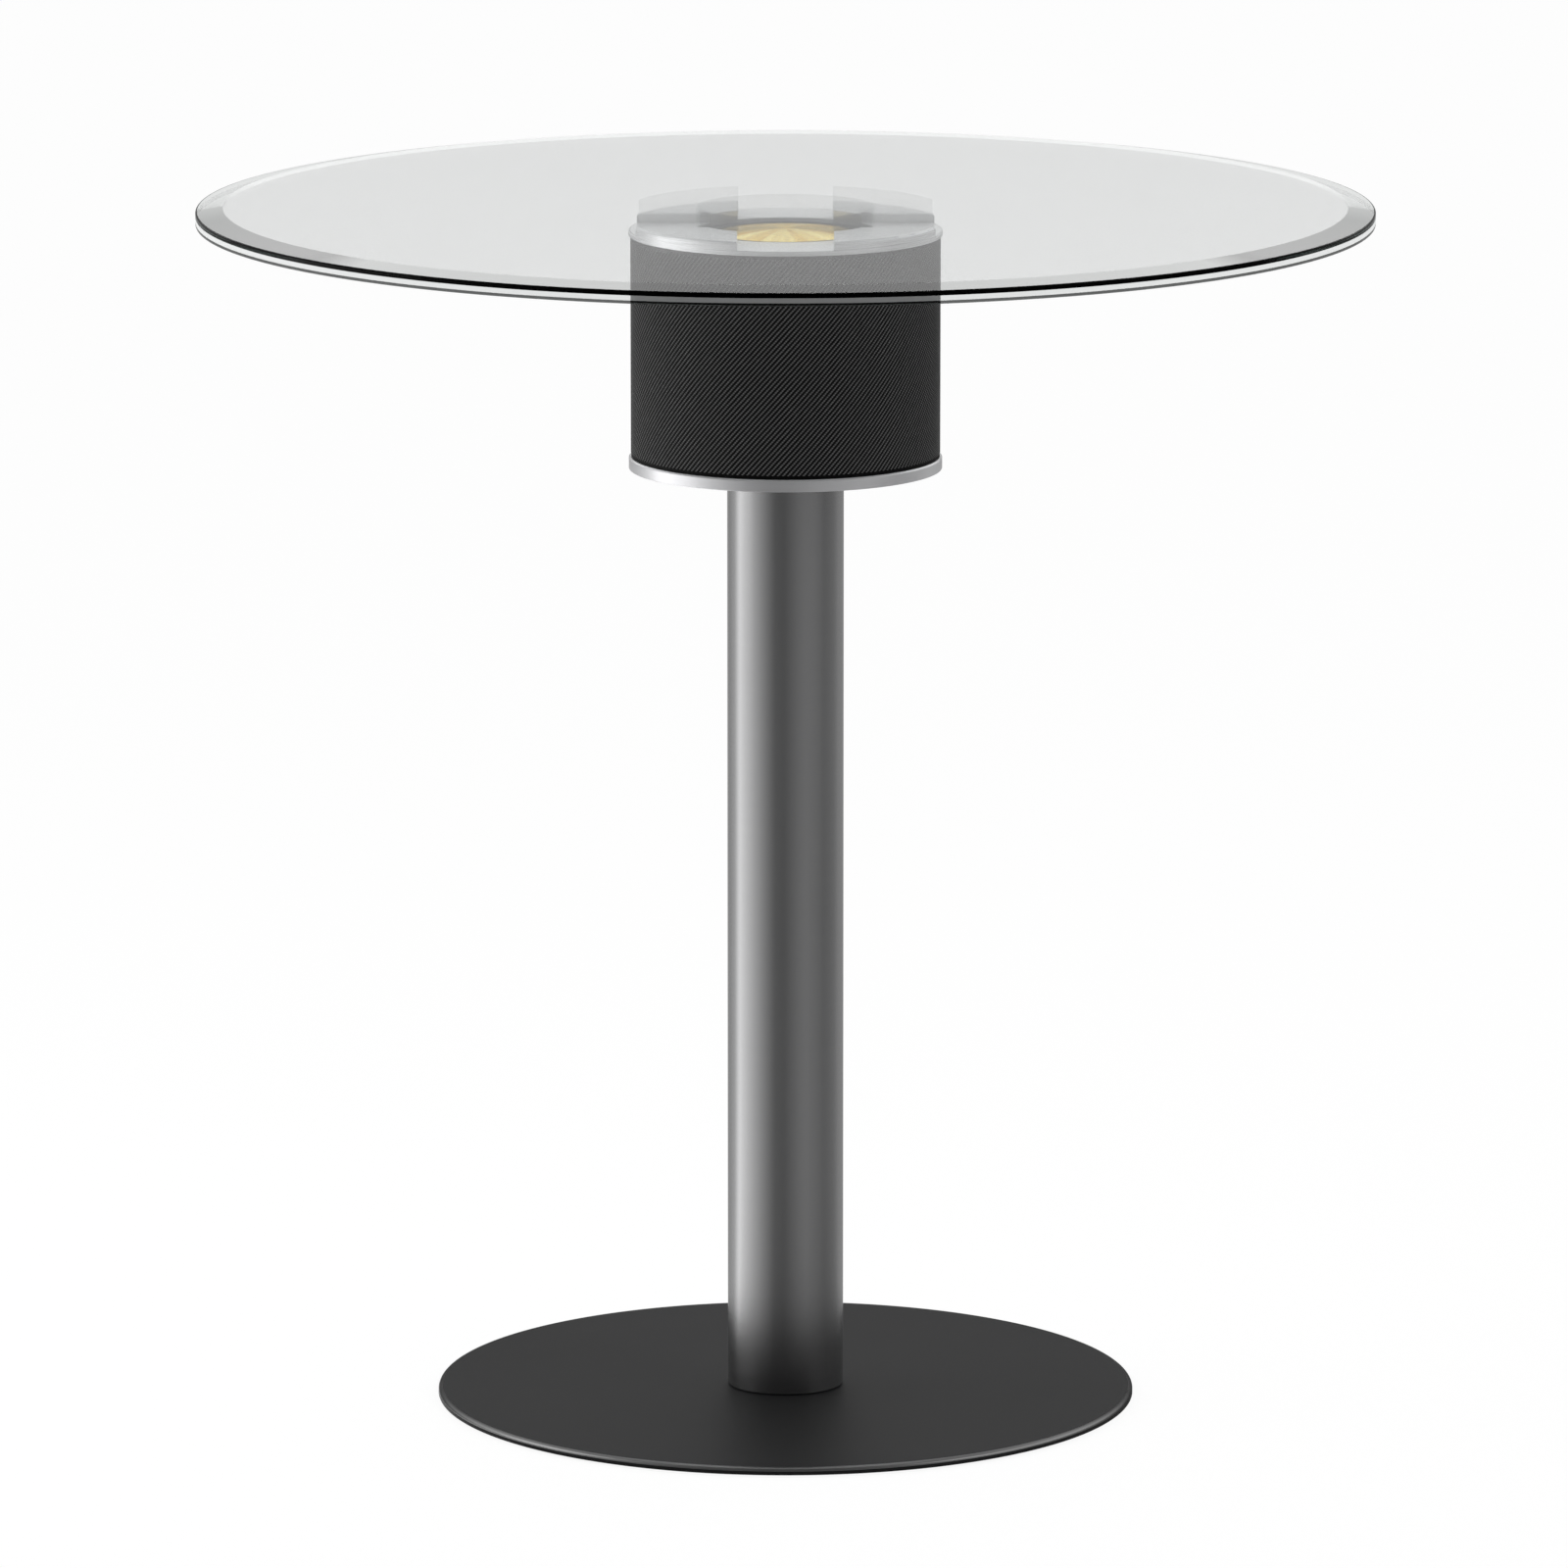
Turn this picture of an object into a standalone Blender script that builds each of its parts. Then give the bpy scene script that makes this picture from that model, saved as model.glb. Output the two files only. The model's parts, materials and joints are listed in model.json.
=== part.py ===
"""A round glass side table on a pedestal. The column carries a mesh drum that
holds a loudspeaker, a ring of lights and their battery, and a slotted
aluminium crown on the drum carries the glass on four clear blocks.
Metres, +Z up, floor at z = 0, the column's axis at x = y = 0."""

import math

import bmesh
import bpy

# Fits and facets
FIT_GAP = 0.0003
CUT_OVERRUN = 0.002
COUNTERSUNK_LIP = 0.0003
MERGE_DISTANCE = 0.000001
SMOOTH_ANGLE = math.radians(32)
LEVEL_COSINE = math.cos(math.radians(0.1))
FACETS_WIDE = 96
FACETS_RING = 48
FACETS_SHELL = 40
FACETS_DRIVER = 32
FACETS_INNER = 24
FACETS_ROD = 16
FACETS_SCREW = 8
FACETS_ARC = 6

# Floor plate and its glides
BASE_RADIUS = 0.210
BASE_THICKNESS = 0.0046
BASE_RIM_WIDTH = 0.0090
BASE_RIM_DROP = 0.0021
BASE_RIM_STEPS = 2
GLIDE_RADIUS = 0.012
GLIDE_THICKNESS = 0.0020
GLIDE_PROJECTION = 0.0008
GLIDE_CIRCLE_RADIUS = 0.185
GLIDE_COUNT = 4
GLIDE_FIRST_TURN = math.radians(45)

# Column, its two plugs and the rod that clamps them
TUBE_RADIUS = 0.0348
TUBE_WALL = 0.0020
TUBE_LENGTH = 0.5600
SPIGOT_HEIGHT = 0.018
BASE_SCREW_CIRCLE = 0.020
BASE_SCREW_COUNT = 3
BASE_SCREW_DEPTH = 0.010
BASE_SCREW_HEAD_RADIUS = 0.0054
BASE_SCREW_HEAD_HEIGHT = 0.0026
BASE_SCREW_SHANK_RADIUS = 0.0029
BASE_SCREW_TIP_ROOM = 0.0008
PLUG_FLANGE_THICKNESS = 0.0030
PLUG_DEPTH = 0.018
ROD_RADIUS = 0.0050
ROD_INSET = 0.0020
ROD_END = 0.0040
WASHER_RADIUS = 0.0120
WASHER_THICKNESS = 0.0020
NUT_ACROSS_FLATS = 0.017
NUT_HEIGHT = 0.0080

# Drum shell
SLEEVE_RADIUS = 0.0922
SLEEVE_WALL = 0.0012
SLEEVE_HEIGHT = 0.1233
HEM_HEIGHT = 0.0020
HEM_RELIEF = 0.0003
RING_PROUD = 0.0012
RING_EDGE_BREAK = 0.0003
LOWER_RING_HEIGHT = 0.0073
LOWER_RING_CHAMFER = 0.0009
LEDGE_THICKNESS = 0.0025
LEDGE_WIDTH = 0.0105
FLOOR_PLATE_THICKNESS = 0.0040
FLOOR_SCREW_HEAD_RADIUS = 0.0030
FLOOR_SCREW_HEAD_HEIGHT = 0.0016
FLOOR_SCREW_SHANK_RADIUS = 0.0015
FLOOR_SCREW_GRIP = 0.0090
SHELL_SCREW_COUNT = 4
SHELL_SCREW_FIRST_TURN = math.radians(45)
BOSS_RADIUS = 0.0042
BOSS_HEIGHT = 0.0150
CAGE_WALL = 0.0025
DECK_THICKNESS = 0.0030
CAGE_WINDOW_PAIR_COUNT = 4
WINDOW_WIDTH = 0.038
WINDOW_SILL = 0.024
WINDOW_LINTEL = 0.014

# Slotted crown, clear blocks and glass
CROWN_HEIGHT = 0.0083
SLOT_DEPTH = 0.0054
SLOT_WIDTH = 0.0570
CROWN_OPENING_RADIUS = 0.0535
CROWN_CHAMFER = 0.0012
CROWN_SPIGOT_DROP = 0.0032
CROWN_SPIGOT_WIDTH = 0.0147
CROWN_SCREW_DEPTH = 0.0050
CROWN_SCREW_HEAD_RADIUS = 0.0028
CROWN_SCREW_HEAD_HEIGHT = 0.0018
CROWN_SCREW_SHANK_RADIUS = 0.0015
BLOCK_HEIGHT = 0.0082
GLASS_RADIUS = 0.350
GLASS_THICKNESS = 0.010
GLASS_BEVEL_WIDTH = 0.0163
GLASS_BEVEL_DROP = 0.0025
GLASS_EDGE_BREAK = 0.0007

# Ring of lights and its light guide
GUIDE_WALL = 0.0020
LIGHT_BOARD_WIDTH = 0.0095
LIGHT_BOARD_THICKNESS = 0.0012
LIGHT_CHIP_COUNT = 12
LIGHT_CHIP_LENGTH = 0.0026
LIGHT_CHIP_WIDTH = 0.0016
LIGHT_CHIP_HEIGHT = 0.0008

# Loudspeaker driver
DRIVER_RADIUS = 0.0500
BASKET_MOUTH_RADIUS = 0.0422
BASKET_FLANGE_THICKNESS = 0.0024
BASKET_WALL = 0.0013
BASKET_DEPTH = 0.0225
BASKET_SEAT_RADIUS = 0.0300
BASKET_WINDOW_PAIR_COUNT = 3
BASKET_WINDOW_WIDTH = 0.020
BASKET_WINDOW_MARGIN = 0.0050
DRIVER_SCREW_COUNT = 4
DRIVER_SCREW_FIRST_TURN = math.radians(45)
DRIVER_SCREW_HEAD_RADIUS = 0.0014
DRIVER_SCREW_HEAD_HEIGHT = 0.0010
DRIVER_SCREW_SHANK_RADIUS = 0.0009
DRIVER_SCREW_LENGTH = 0.0065
SURROUND_THICKNESS = 0.0006
SURROUND_LAND_WIDTH = 0.0010
SURROUND_LIP_WIDTH = 0.0020
SURROUND_ROLL_RADIUS = 0.0016
SURROUND_ROLL_STEPS = 4
DIAPHRAGM_RADIUS = 0.0415
DIAPHRAGM_RISE = 0.0031
DIAPHRAGM_THICKNESS = 0.0005
DIAPHRAGM_STEPS = 4
POLE_RADIUS = 0.0117
COIL_GAP = 0.0005
COIL_WALL = 0.0006
COIL_OVERLAP = 0.0085
SPIDER_HEIGHT = 0.0006
SPIDER_WAVE = 0.0008
SPIDER_WAVE_COUNT = 2
SPIDER_WIDTH = 0.0135
SPIDER_STEPS_PER_WAVE = 4
MOTOR_PLATE_RADIUS = 0.0280
MOTOR_PLATE_THICKNESS = 0.0040
MAGNET_RADIUS = 0.0320
MAGNET_HEIGHT = 0.0120
MAGNET_BORE_RADIUS = 0.0170

# Battery, control board, button and inlet
CELL_RADIUS = 0.0092
CELL_HEIGHT = 0.0650
CELL_BUTTON_RADIUS = 0.0030
CELL_BUTTON_HEIGHT = 0.0012
CELL_COUNT = 4
HOLDER_HEIGHT = 0.0120
HOLDER_FLOOR = 0.0020
HOLDER_WALL = 0.0030
BOARD_LENGTH = 0.0440
BOARD_DEPTH = 0.0200
BOARD_THICKNESS = 0.0016
BOARD_CLEARANCE = 0.0020
BOARD_LEDGE_ROOM = 0.0107
POST_RADIUS = 0.0022
POST_HEIGHT = 0.0080
POST_EDGE = 0.0030
BUTTON_RADIUS = 0.0060
BUTTON_PROUD = 0.0012
BUTTON_FLANGE_WIDTH = 0.0014
BUTTON_FLANGE_THICKNESS = 0.0010
BUTTON_EDGE_BREAK = 0.0005
BUTTON_STEM_RADIUS = 0.0025
BUTTON_TRAVEL = 0.0015
SWITCH_SIDE = 0.0100
INLET_LENGTH = 0.0090
INLET_WIDTH = 0.0032
INLET_SHELL = 0.0004
INLET_DEPTH = 0.0060
INLET_TONGUE_LENGTH = 0.0066
INLET_TONGUE_WIDTH = 0.0007
CONTROL_SPREAD = 0.0085

# Heights, from the floor up
BASE_Z = GLIDE_PROJECTION
BASE_TOP_Z = BASE_Z + BASE_THICKNESS
TUBE_Z = BASE_TOP_Z + FIT_GAP
TUBE_TOP_Z = TUBE_Z + TUBE_LENGTH
PLUG_FLANGE_Z = TUBE_TOP_Z + FIT_GAP
PLUG_TOP_Z = PLUG_FLANGE_Z + PLUG_FLANGE_THICKNESS
FLOOR_PLATE_Z = PLUG_TOP_Z + FIT_GAP
FLOOR_PLATE_TOP_Z = FLOOR_PLATE_Z + FLOOR_PLATE_THICKNESS
DRUM_Z = FLOOR_PLATE_Z - FIT_GAP - LEDGE_THICKNESS
SLEEVE_Z = DRUM_Z + LOWER_RING_HEIGHT + FIT_GAP
CROWN_Z = SLEEVE_Z + SLEEVE_HEIGHT + FIT_GAP
CROWN_TOP_Z = CROWN_Z + CROWN_HEIGHT
SLOT_Z = CROWN_TOP_Z - SLOT_DEPTH
DECK_TOP_Z = CROWN_Z - CROWN_SPIGOT_DROP - FIT_GAP
DECK_Z = DECK_TOP_Z - DECK_THICKNESS
BLOCK_Z = CROWN_TOP_Z + FIT_GAP
GLASS_Z = BLOCK_Z + BLOCK_HEIGHT + FIT_GAP
CAGE_Z = FLOOR_PLATE_TOP_Z + FIT_GAP
DRIVER_Z = DECK_TOP_Z + FIT_GAP
LIGHT_BOARD_Z = DECK_TOP_Z + FIT_GAP
CHIP_TOP_Z = LIGHT_BOARD_Z + LIGHT_BOARD_THICKNESS + LIGHT_CHIP_HEIGHT
GUIDE_Z = CHIP_TOP_Z + FIT_GAP

# Radii, from the sleeve inwards
RING_RADIUS = SLEEVE_RADIUS + RING_PROUD
SHELL_BORE_RADIUS = SLEEVE_RADIUS - SLEEVE_WALL
CAGE_RADIUS = SHELL_BORE_RADIUS - FIT_GAP
LEDGE_RADIUS = CAGE_RADIUS - LEDGE_WIDTH
FLOOR_SCREW_CIRCLE = CAGE_RADIUS - LEDGE_WIDTH / 2
CROWN_SPIGOT_RADIUS = CAGE_RADIUS - CROWN_SPIGOT_WIDTH
CROWN_SCREW_CIRCLE = CROWN_SPIGOT_RADIUS + CROWN_SPIGOT_WIDTH / 3
GUIDE_RADIUS = CROWN_OPENING_RADIUS - FIT_GAP
DECK_OPENING_RADIUS = BASKET_MOUTH_RADIUS + BASKET_WALL + FIT_GAP
PLUG_RADIUS = TUBE_RADIUS - TUBE_WALL - FIT_GAP
ROD_BORE_RADIUS = ROD_RADIUS + FIT_GAP
COIL_RADIUS = POLE_RADIUS + COIL_GAP + COIL_WALL

# Driver heights and radii
BASKET_FLANGE_TOP_Z = DRIVER_Z + BASKET_FLANGE_THICKNESS
SURROUND_Z = BASKET_FLANGE_TOP_Z + FIT_GAP
DIAPHRAGM_Z = SURROUND_Z + SURROUND_THICKNESS + FIT_GAP + DIAPHRAGM_THICKNESS
BASKET_SEAT_Z = DRIVER_Z - BASKET_DEPTH
MOTOR_PLATE_Z = BASKET_SEAT_Z - BASKET_WALL - FIT_GAP - MOTOR_PLATE_THICKNESS
MAGNET_Z = MOTOR_PLATE_Z - FIT_GAP - MAGNET_HEIGHT
YOKE_Z = MAGNET_Z - FIT_GAP - MOTOR_PLATE_THICKNESS
POLE_HEIGHT = MOTOR_PLATE_Z + MOTOR_PLATE_THICKNESS - YOKE_Z
SURROUND_LIP_RADIUS = DIAPHRAGM_RADIUS - SURROUND_LIP_WIDTH
SURROUND_ROLL_START = DIAPHRAGM_RADIUS + SURROUND_THICKNESS
SURROUND_ROLL_MIDDLE = SURROUND_ROLL_START + SURROUND_ROLL_RADIUS
SURROUND_ROLL_END = SURROUND_ROLL_MIDDLE + SURROUND_ROLL_RADIUS
SURROUND_RADIUS = SURROUND_ROLL_END + SURROUND_LAND_WIDTH
DRIVER_SCREW_CIRCLE = (SURROUND_RADIUS + DRIVER_RADIUS) / 2

# Control board's place inside the ledge, and the battery inside the board
BOARD_Y = LEDGE_RADIUS - BOARD_LEDGE_ROOM
HOLDER_RADIUS = BOARD_Y - BOARD_DEPTH / 2 - BOARD_CLEARANCE
CELL_CIRCLE_RADIUS = HOLDER_RADIUS - HOLDER_WALL - FIT_GAP - CELL_RADIUS
HOLDER_BORE_RADIUS = CELL_CIRCLE_RADIUS - CELL_RADIUS - FIT_GAP - HOLDER_WALL
BOARD_Z = FLOOR_PLATE_TOP_Z + POST_HEIGHT + FIT_GAP
POST_X = BOARD_LENGTH / 2 - POST_EDGE
BUTTON_HOLE_RADIUS = BUTTON_RADIUS + FIT_GAP
BUTTON_FLANGE_Z = FLOOR_PLATE_TOP_Z + FIT_GAP
SWITCH_HEIGHT = (
    POST_HEIGHT - 3 * FIT_GAP - BUTTON_FLANGE_THICKNESS - BUTTON_TRAVEL
) / 2


def clear_scene():
    """Removes whatever the open file holds, so that only the table is left."""
    for old in list(bpy.data.objects):
        bpy.data.objects.remove(old, do_unlink=True)


def finish(name, colour, roughness, metallic, alpha=1.0):
    """A material with one Principled BSDF."""
    material = bpy.data.materials.new(name)
    material.use_nodes = True
    shader = material.node_tree.nodes["Principled BSDF"]
    shader.inputs["Base Color"].default_value = (*colour, 1.0)
    shader.inputs["Roughness"].default_value = roughness
    shader.inputs["Metallic"].default_value = metallic
    shader.inputs["Alpha"].default_value = alpha
    material.diffuse_color = (*colour, alpha)
    return material


def group(name, height):
    """An empty on the axis that a sub-assembly hangs from."""
    empty = bpy.data.objects.new(name, None)
    empty.location = (0, 0, height)
    bpy.context.scene.collection.objects.link(empty)
    return empty


def solid(name, bm, material, parent, place):
    """Makes an object from bm, with its own origin at place in the world."""
    bmesh.ops.recalc_face_normals(bm, faces=bm.faces[:])
    mesh = bpy.data.meshes.new(name)
    bm.to_mesh(mesh)
    bm.free()
    mesh.shade_smooth()
    mesh.set_sharp_from_angle(angle=SMOOTH_ANGLE)
    if material is not None:
        mesh.materials.append(material)
    obj = bpy.data.objects.new(name, mesh)
    obj.parent = parent
    obj.location = [at - base for at, base in zip(place, parent.location)]
    bpy.context.scene.collection.objects.link(obj)
    return obj


def combine(obj, name, bm, place, operation):
    """Cuts or joins bm, standing at place, by an EXACT Boolean on obj."""
    tool = solid(name, bm, None, obj.parent, place)
    tool.hide_render = True
    tool.display_type = "WIRE"
    modifier = obj.modifiers.new(name, "BOOLEAN")
    modifier.operation = operation
    modifier.solver = "EXACT"
    modifier.object = tool
    return tool


def turned(profile, facets, lead=0):
    """A profile of (radius, height) points spun a full turn about Z from the
    angle lead. The wedges of a flat end on the axis are merged into one face."""
    bm = bmesh.new()
    along_x = math.cos(lead)
    along_y = math.sin(lead)
    points = [bm.verts.new((r * along_x, r * along_y, z)) for r, z in profile]
    pairs = list(zip(points, points[1:]))
    if profile[0][0] > 0:
        pairs.append((points[-1], points[0]))
    edges = [bm.edges.new(pair) for pair in pairs]
    bmesh.ops.spin(
        bm,
        geom=points + edges,
        cent=(0, 0, 0),
        axis=(0, 0, 1),
        angle=2 * math.pi,
        steps=facets,
        use_merge=True,
    )
    bmesh.ops.remove_doubles(bm, verts=bm.verts[:], dist=MERGE_DISTANCE)
    bm.normal_update()
    poles = [point for point in bm.verts if point.co.xy.length < MERGE_DISTANCE]
    level = [
        pole
        for pole in poles
        if all(abs(face.normal.z) > LEVEL_COSINE for face in pole.link_faces)
    ]
    bmesh.ops.dissolve_verts(bm, verts=level)
    return bm


def drawn_up(outline, height):
    """A flat outline of (x, y) points extruded upwards by height."""
    bm = bmesh.new()
    face = bm.faces.new([bm.verts.new((x, y, 0)) for x, y in outline])
    raised = bmesh.ops.extrude_face_region(bm, geom=[face])["geom"]
    lid = [part for part in raised if isinstance(part, bmesh.types.BMVert)]
    bmesh.ops.translate(bm, verts=lid, vec=(0, 0, height))
    return bm


def rectangle(length, depth):
    return [
        (-length / 2, -depth / 2),
        (length / 2, -depth / 2),
        (length / 2, depth / 2),
        (-length / 2, depth / 2),
    ]


def obround(length, width, steps):
    """A slot outline: two half circles joined by straight sides."""
    radius = width / 2
    reach = length / 2 - radius
    right = arc(reach, 0, radius, radius, -math.pi / 2, math.pi / 2, steps)
    left = arc(-reach, 0, radius, radius, math.pi / 2, 3 * math.pi / 2, steps)
    return right + left


def polygon(radius, sides):
    return arc(0, 0, radius, radius, 0, 2 * math.pi, sides)[:-1]


def arc(x, y, reach_x, reach_y, start, end, steps):
    """Points along an elliptical arc about (x, y), both ends included."""
    angles = [start + (end - start) * step / steps for step in range(steps + 1)]
    return [(x + reach_x * math.cos(a), y + reach_y * math.sin(a)) for a in angles]


def turned_aside(profile, facets):
    """The same for a piece off the axis, its facets turned by half a step, so
    that no corner of a hole meets an edge of the face that it is cut in."""
    return turned(profile, facets, math.pi / facets)


def cylinder(radius, height):
    """The profile of a plain cylinder that stands on 0."""
    return [(0, 0), (radius, 0), (radius, height), (0, height)]


def tube(outer, inner, height, facets):
    corners = [(inner, 0), (outer, 0), (outer, height), (inner, height)]
    return turned(corners, facets)


def on_circle(radius, count, first_turn):
    """Evenly spaced (x, y) places on a circle."""
    turns = [first_turn + 2 * math.pi * index / count for index in range(count)]
    return [(radius * math.cos(turn), radius * math.sin(turn)) for turn in turns]


def countersunk(head_radius, head_height, shank_radius, length, grow):
    """A countersunk screw's profile, head down, grown all round by grow."""
    return [
        (0, -grow),
        (head_radius + grow, -grow),
        (head_radius + grow, COUNTERSUNK_LIP),
        (shank_radius + grow, head_height + COUNTERSUNK_LIP),
        (shank_radius + grow, length + grow),
        (0, length + grow),
    ]


def pan_head(head_radius, head_height, shank_radius, length):
    """A pan-head screw's profile with its seat at 0 and its shank upwards."""
    return [
        (0, -head_height),
        (head_radius, -head_height),
        (head_radius, 0),
        (shank_radius, 0),
        (shank_radius, length),
        (0, length),
    ]


def build_base(parent, steel, rubber, zinc):
    """The disc on the floor, the glides let into it and its three screws."""
    rim = arc(
        BASE_RADIUS - BASE_RIM_WIDTH,
        BASE_THICKNESS - BASE_RIM_DROP,
        BASE_RIM_WIDTH,
        BASE_RIM_DROP,
        0,
        math.pi / 2,
        BASE_RIM_STEPS,
    )
    profile = [(0, 0), (BASE_RADIUS, 0)] + rim + [(0, BASE_THICKNESS)]
    plate = solid("base_plate", turned(profile, FACETS_WIDE), steel, parent, (0, 0, BASE_Z))
    places = on_circle(GLIDE_CIRCLE_RADIUS, GLIDE_COUNT, GLIDE_FIRST_TURN)
    recess = GLIDE_THICKNESS - GLIDE_PROJECTION + FIT_GAP
    for number, (x, y) in enumerate(places, 1):
        pad = turned_aside(cylinder(GLIDE_RADIUS, GLIDE_THICKNESS), FACETS_ROD)
        solid(f"floor_glide_{number}", pad, rubber, parent, (x, y, 0))
        pocket = turned_aside(cylinder(GLIDE_RADIUS + FIT_GAP, recess + CUT_OVERRUN), FACETS_ROD)
        combine(plate, f"glide_pocket_{number}", pocket, (x, y, BASE_Z - CUT_OVERRUN), "DIFFERENCE")
    screw = (BASE_SCREW_HEAD_RADIUS, BASE_SCREW_HEAD_HEIGHT, BASE_SCREW_SHANK_RADIUS)
    length = BASE_THICKNESS + FIT_GAP + BASE_SCREW_DEPTH
    for number, (x, y) in enumerate(on_circle(BASE_SCREW_CIRCLE, BASE_SCREW_COUNT, 0), 1):
        body = turned_aside(countersunk(*screw, length, 0), FACETS_SCREW)
        solid(f"base_screw_{number}", body, zinc, parent, (x, y, BASE_Z))
        hole = turned_aside(countersunk(*screw, length, FIT_GAP), FACETS_SCREW)
        combine(plate, f"base_screw_hole_{number}", hole, (x, y, BASE_Z), "DIFFERENCE")


def build_column(parent, brushed, zinc):
    """The tube, the plug in each end and the rod with its washer and nut."""
    inner = TUBE_RADIUS - TUBE_WALL
    solid("column_tube", tube(TUBE_RADIUS, inner, TUBE_LENGTH, FACETS_RING), brushed, parent, (0, 0, TUBE_Z))
    foot = tube(PLUG_RADIUS, ROD_BORE_RADIUS, SPIGOT_HEIGHT, FACETS_INNER)
    spigot = solid("foot_spigot", foot, zinc, parent, (0, 0, TUBE_Z))
    depth = BASE_SCREW_DEPTH + BASE_SCREW_TIP_ROOM + CUT_OVERRUN
    for number, (x, y) in enumerate(on_circle(BASE_SCREW_CIRCLE, BASE_SCREW_COUNT, 0), 1):
        hole = turned_aside(cylinder(BASE_SCREW_SHANK_RADIUS + FIT_GAP, depth), FACETS_SCREW)
        combine(spigot, f"spigot_hole_{number}", hole, (x, y, TUBE_Z - CUT_OVERRUN), "DIFFERENCE")
    plug = [
        (ROD_BORE_RADIUS, -PLUG_DEPTH),
        (PLUG_RADIUS, -PLUG_DEPTH),
        (PLUG_RADIUS, 0),
        (TUBE_RADIUS, 0),
        (TUBE_RADIUS, PLUG_FLANGE_THICKNESS),
        (ROD_BORE_RADIUS, PLUG_FLANGE_THICKNESS),
    ]
    solid("head_plug", turned(plug, FACETS_INNER), zinc, parent, (0, 0, PLUG_FLANGE_Z))
    washer_z = FLOOR_PLATE_TOP_Z + FIT_GAP
    nut_z = washer_z + WASHER_THICKNESS + FIT_GAP
    washer = tube(WASHER_RADIUS, ROD_BORE_RADIUS, WASHER_THICKNESS, FACETS_ROD)
    solid("rod_washer", washer, zinc, parent, (0, 0, washer_z))
    corner_radius = NUT_ACROSS_FLATS / 2 / math.cos(math.pi / 6)
    nut = solid("rod_nut", drawn_up(polygon(corner_radius, 6), NUT_HEIGHT), zinc, parent, (0, 0, nut_z))
    bore = turned_aside(cylinder(ROD_BORE_RADIUS, NUT_HEIGHT + 2 * CUT_OVERRUN), FACETS_ROD)
    combine(nut, "nut_bore", bore, (0, 0, nut_z - CUT_OVERRUN), "DIFFERENCE")
    rod_z = TUBE_Z + ROD_INSET
    rod_length = nut_z + NUT_HEIGHT + ROD_END - rod_z
    solid("tie_rod", turned(cylinder(ROD_RADIUS, rod_length), FACETS_ROD), zinc, parent, (0, 0, rod_z))


def build_lower_ring(parent, aluminium, zinc):
    """The aluminium ring whose ledge carries the drum's floor plate."""
    profile = [
        (LEDGE_RADIUS, 0),
        (RING_RADIUS - RING_EDGE_BREAK, 0),
        (RING_RADIUS, RING_EDGE_BREAK),
        (RING_RADIUS, LOWER_RING_HEIGHT - LOWER_RING_CHAMFER),
        (RING_RADIUS - LOWER_RING_CHAMFER, LOWER_RING_HEIGHT),
        (SHELL_BORE_RADIUS, LOWER_RING_HEIGHT),
        (SHELL_BORE_RADIUS, LEDGE_THICKNESS),
        (LEDGE_RADIUS, LEDGE_THICKNESS),
    ]
    ring = solid("lower_ring", turned(profile, FACETS_RING), aluminium, parent, (0, 0, DRUM_Z))
    screw = (FLOOR_SCREW_HEAD_RADIUS, FLOOR_SCREW_HEAD_HEIGHT, FLOOR_SCREW_SHANK_RADIUS)
    length = FLOOR_PLATE_TOP_Z - DRUM_Z + FIT_GAP + FLOOR_SCREW_GRIP
    places = on_circle(FLOOR_SCREW_CIRCLE, SHELL_SCREW_COUNT, SHELL_SCREW_FIRST_TURN)
    for number, (x, y) in enumerate(places, 1):
        body = turned_aside(countersunk(*screw, length, 0), FACETS_SCREW)
        solid(f"floor_screw_{number}", body, zinc, parent, (x, y, DRUM_Z))
        hole = turned_aside(countersunk(*screw, length, FIT_GAP), FACETS_SCREW)
        combine(ring, f"ring_hole_{number}", hole, (x, y, DRUM_Z), "DIFFERENCE")


def build_floor_plate(parent, black):
    """The load plate under the drum, with its holes and the board's posts."""
    disc = tube(CAGE_RADIUS, ROD_BORE_RADIUS, FLOOR_PLATE_THICKNESS, FACETS_SHELL)
    plate = solid("drum_floor", disc, black, parent, (0, 0, FLOOR_PLATE_Z))
    under = FLOOR_PLATE_Z - CUT_OVERRUN
    through = FLOOR_PLATE_THICKNESS + 2 * CUT_OVERRUN
    places = on_circle(FLOOR_SCREW_CIRCLE, SHELL_SCREW_COUNT, SHELL_SCREW_FIRST_TURN)
    for number, (x, y) in enumerate(places, 1):
        hole = turned_aside(cylinder(FLOOR_SCREW_SHANK_RADIUS + FIT_GAP, through), FACETS_SCREW)
        combine(plate, f"floor_hole_{number}", hole, (x, y, under), "DIFFERENCE")
    button_hole = turned_aside(cylinder(BUTTON_HOLE_RADIUS, through), FACETS_ROD)
    combine(plate, "button_hole", button_hole, (-CONTROL_SPREAD, BOARD_Y, under), "DIFFERENCE")
    slot = obround(INLET_LENGTH + 2 * FIT_GAP, INLET_WIDTH + 2 * FIT_GAP, FACETS_ARC)
    combine(plate, "inlet_hole", drawn_up(slot, through), (CONTROL_SPREAD, BOARD_Y, under), "DIFFERENCE")
    for number, x in enumerate((-POST_X, POST_X), 1):
        post = turned_aside(cylinder(POST_RADIUS, POST_HEIGHT + FLOOR_PLATE_THICKNESS / 2), FACETS_SCREW)
        foot_z = FLOOR_PLATE_TOP_Z - FLOOR_PLATE_THICKNESS / 2
        combine(plate, f"board_post_{number}", post, (x, BOARD_Y, foot_z), "UNION")


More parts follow.
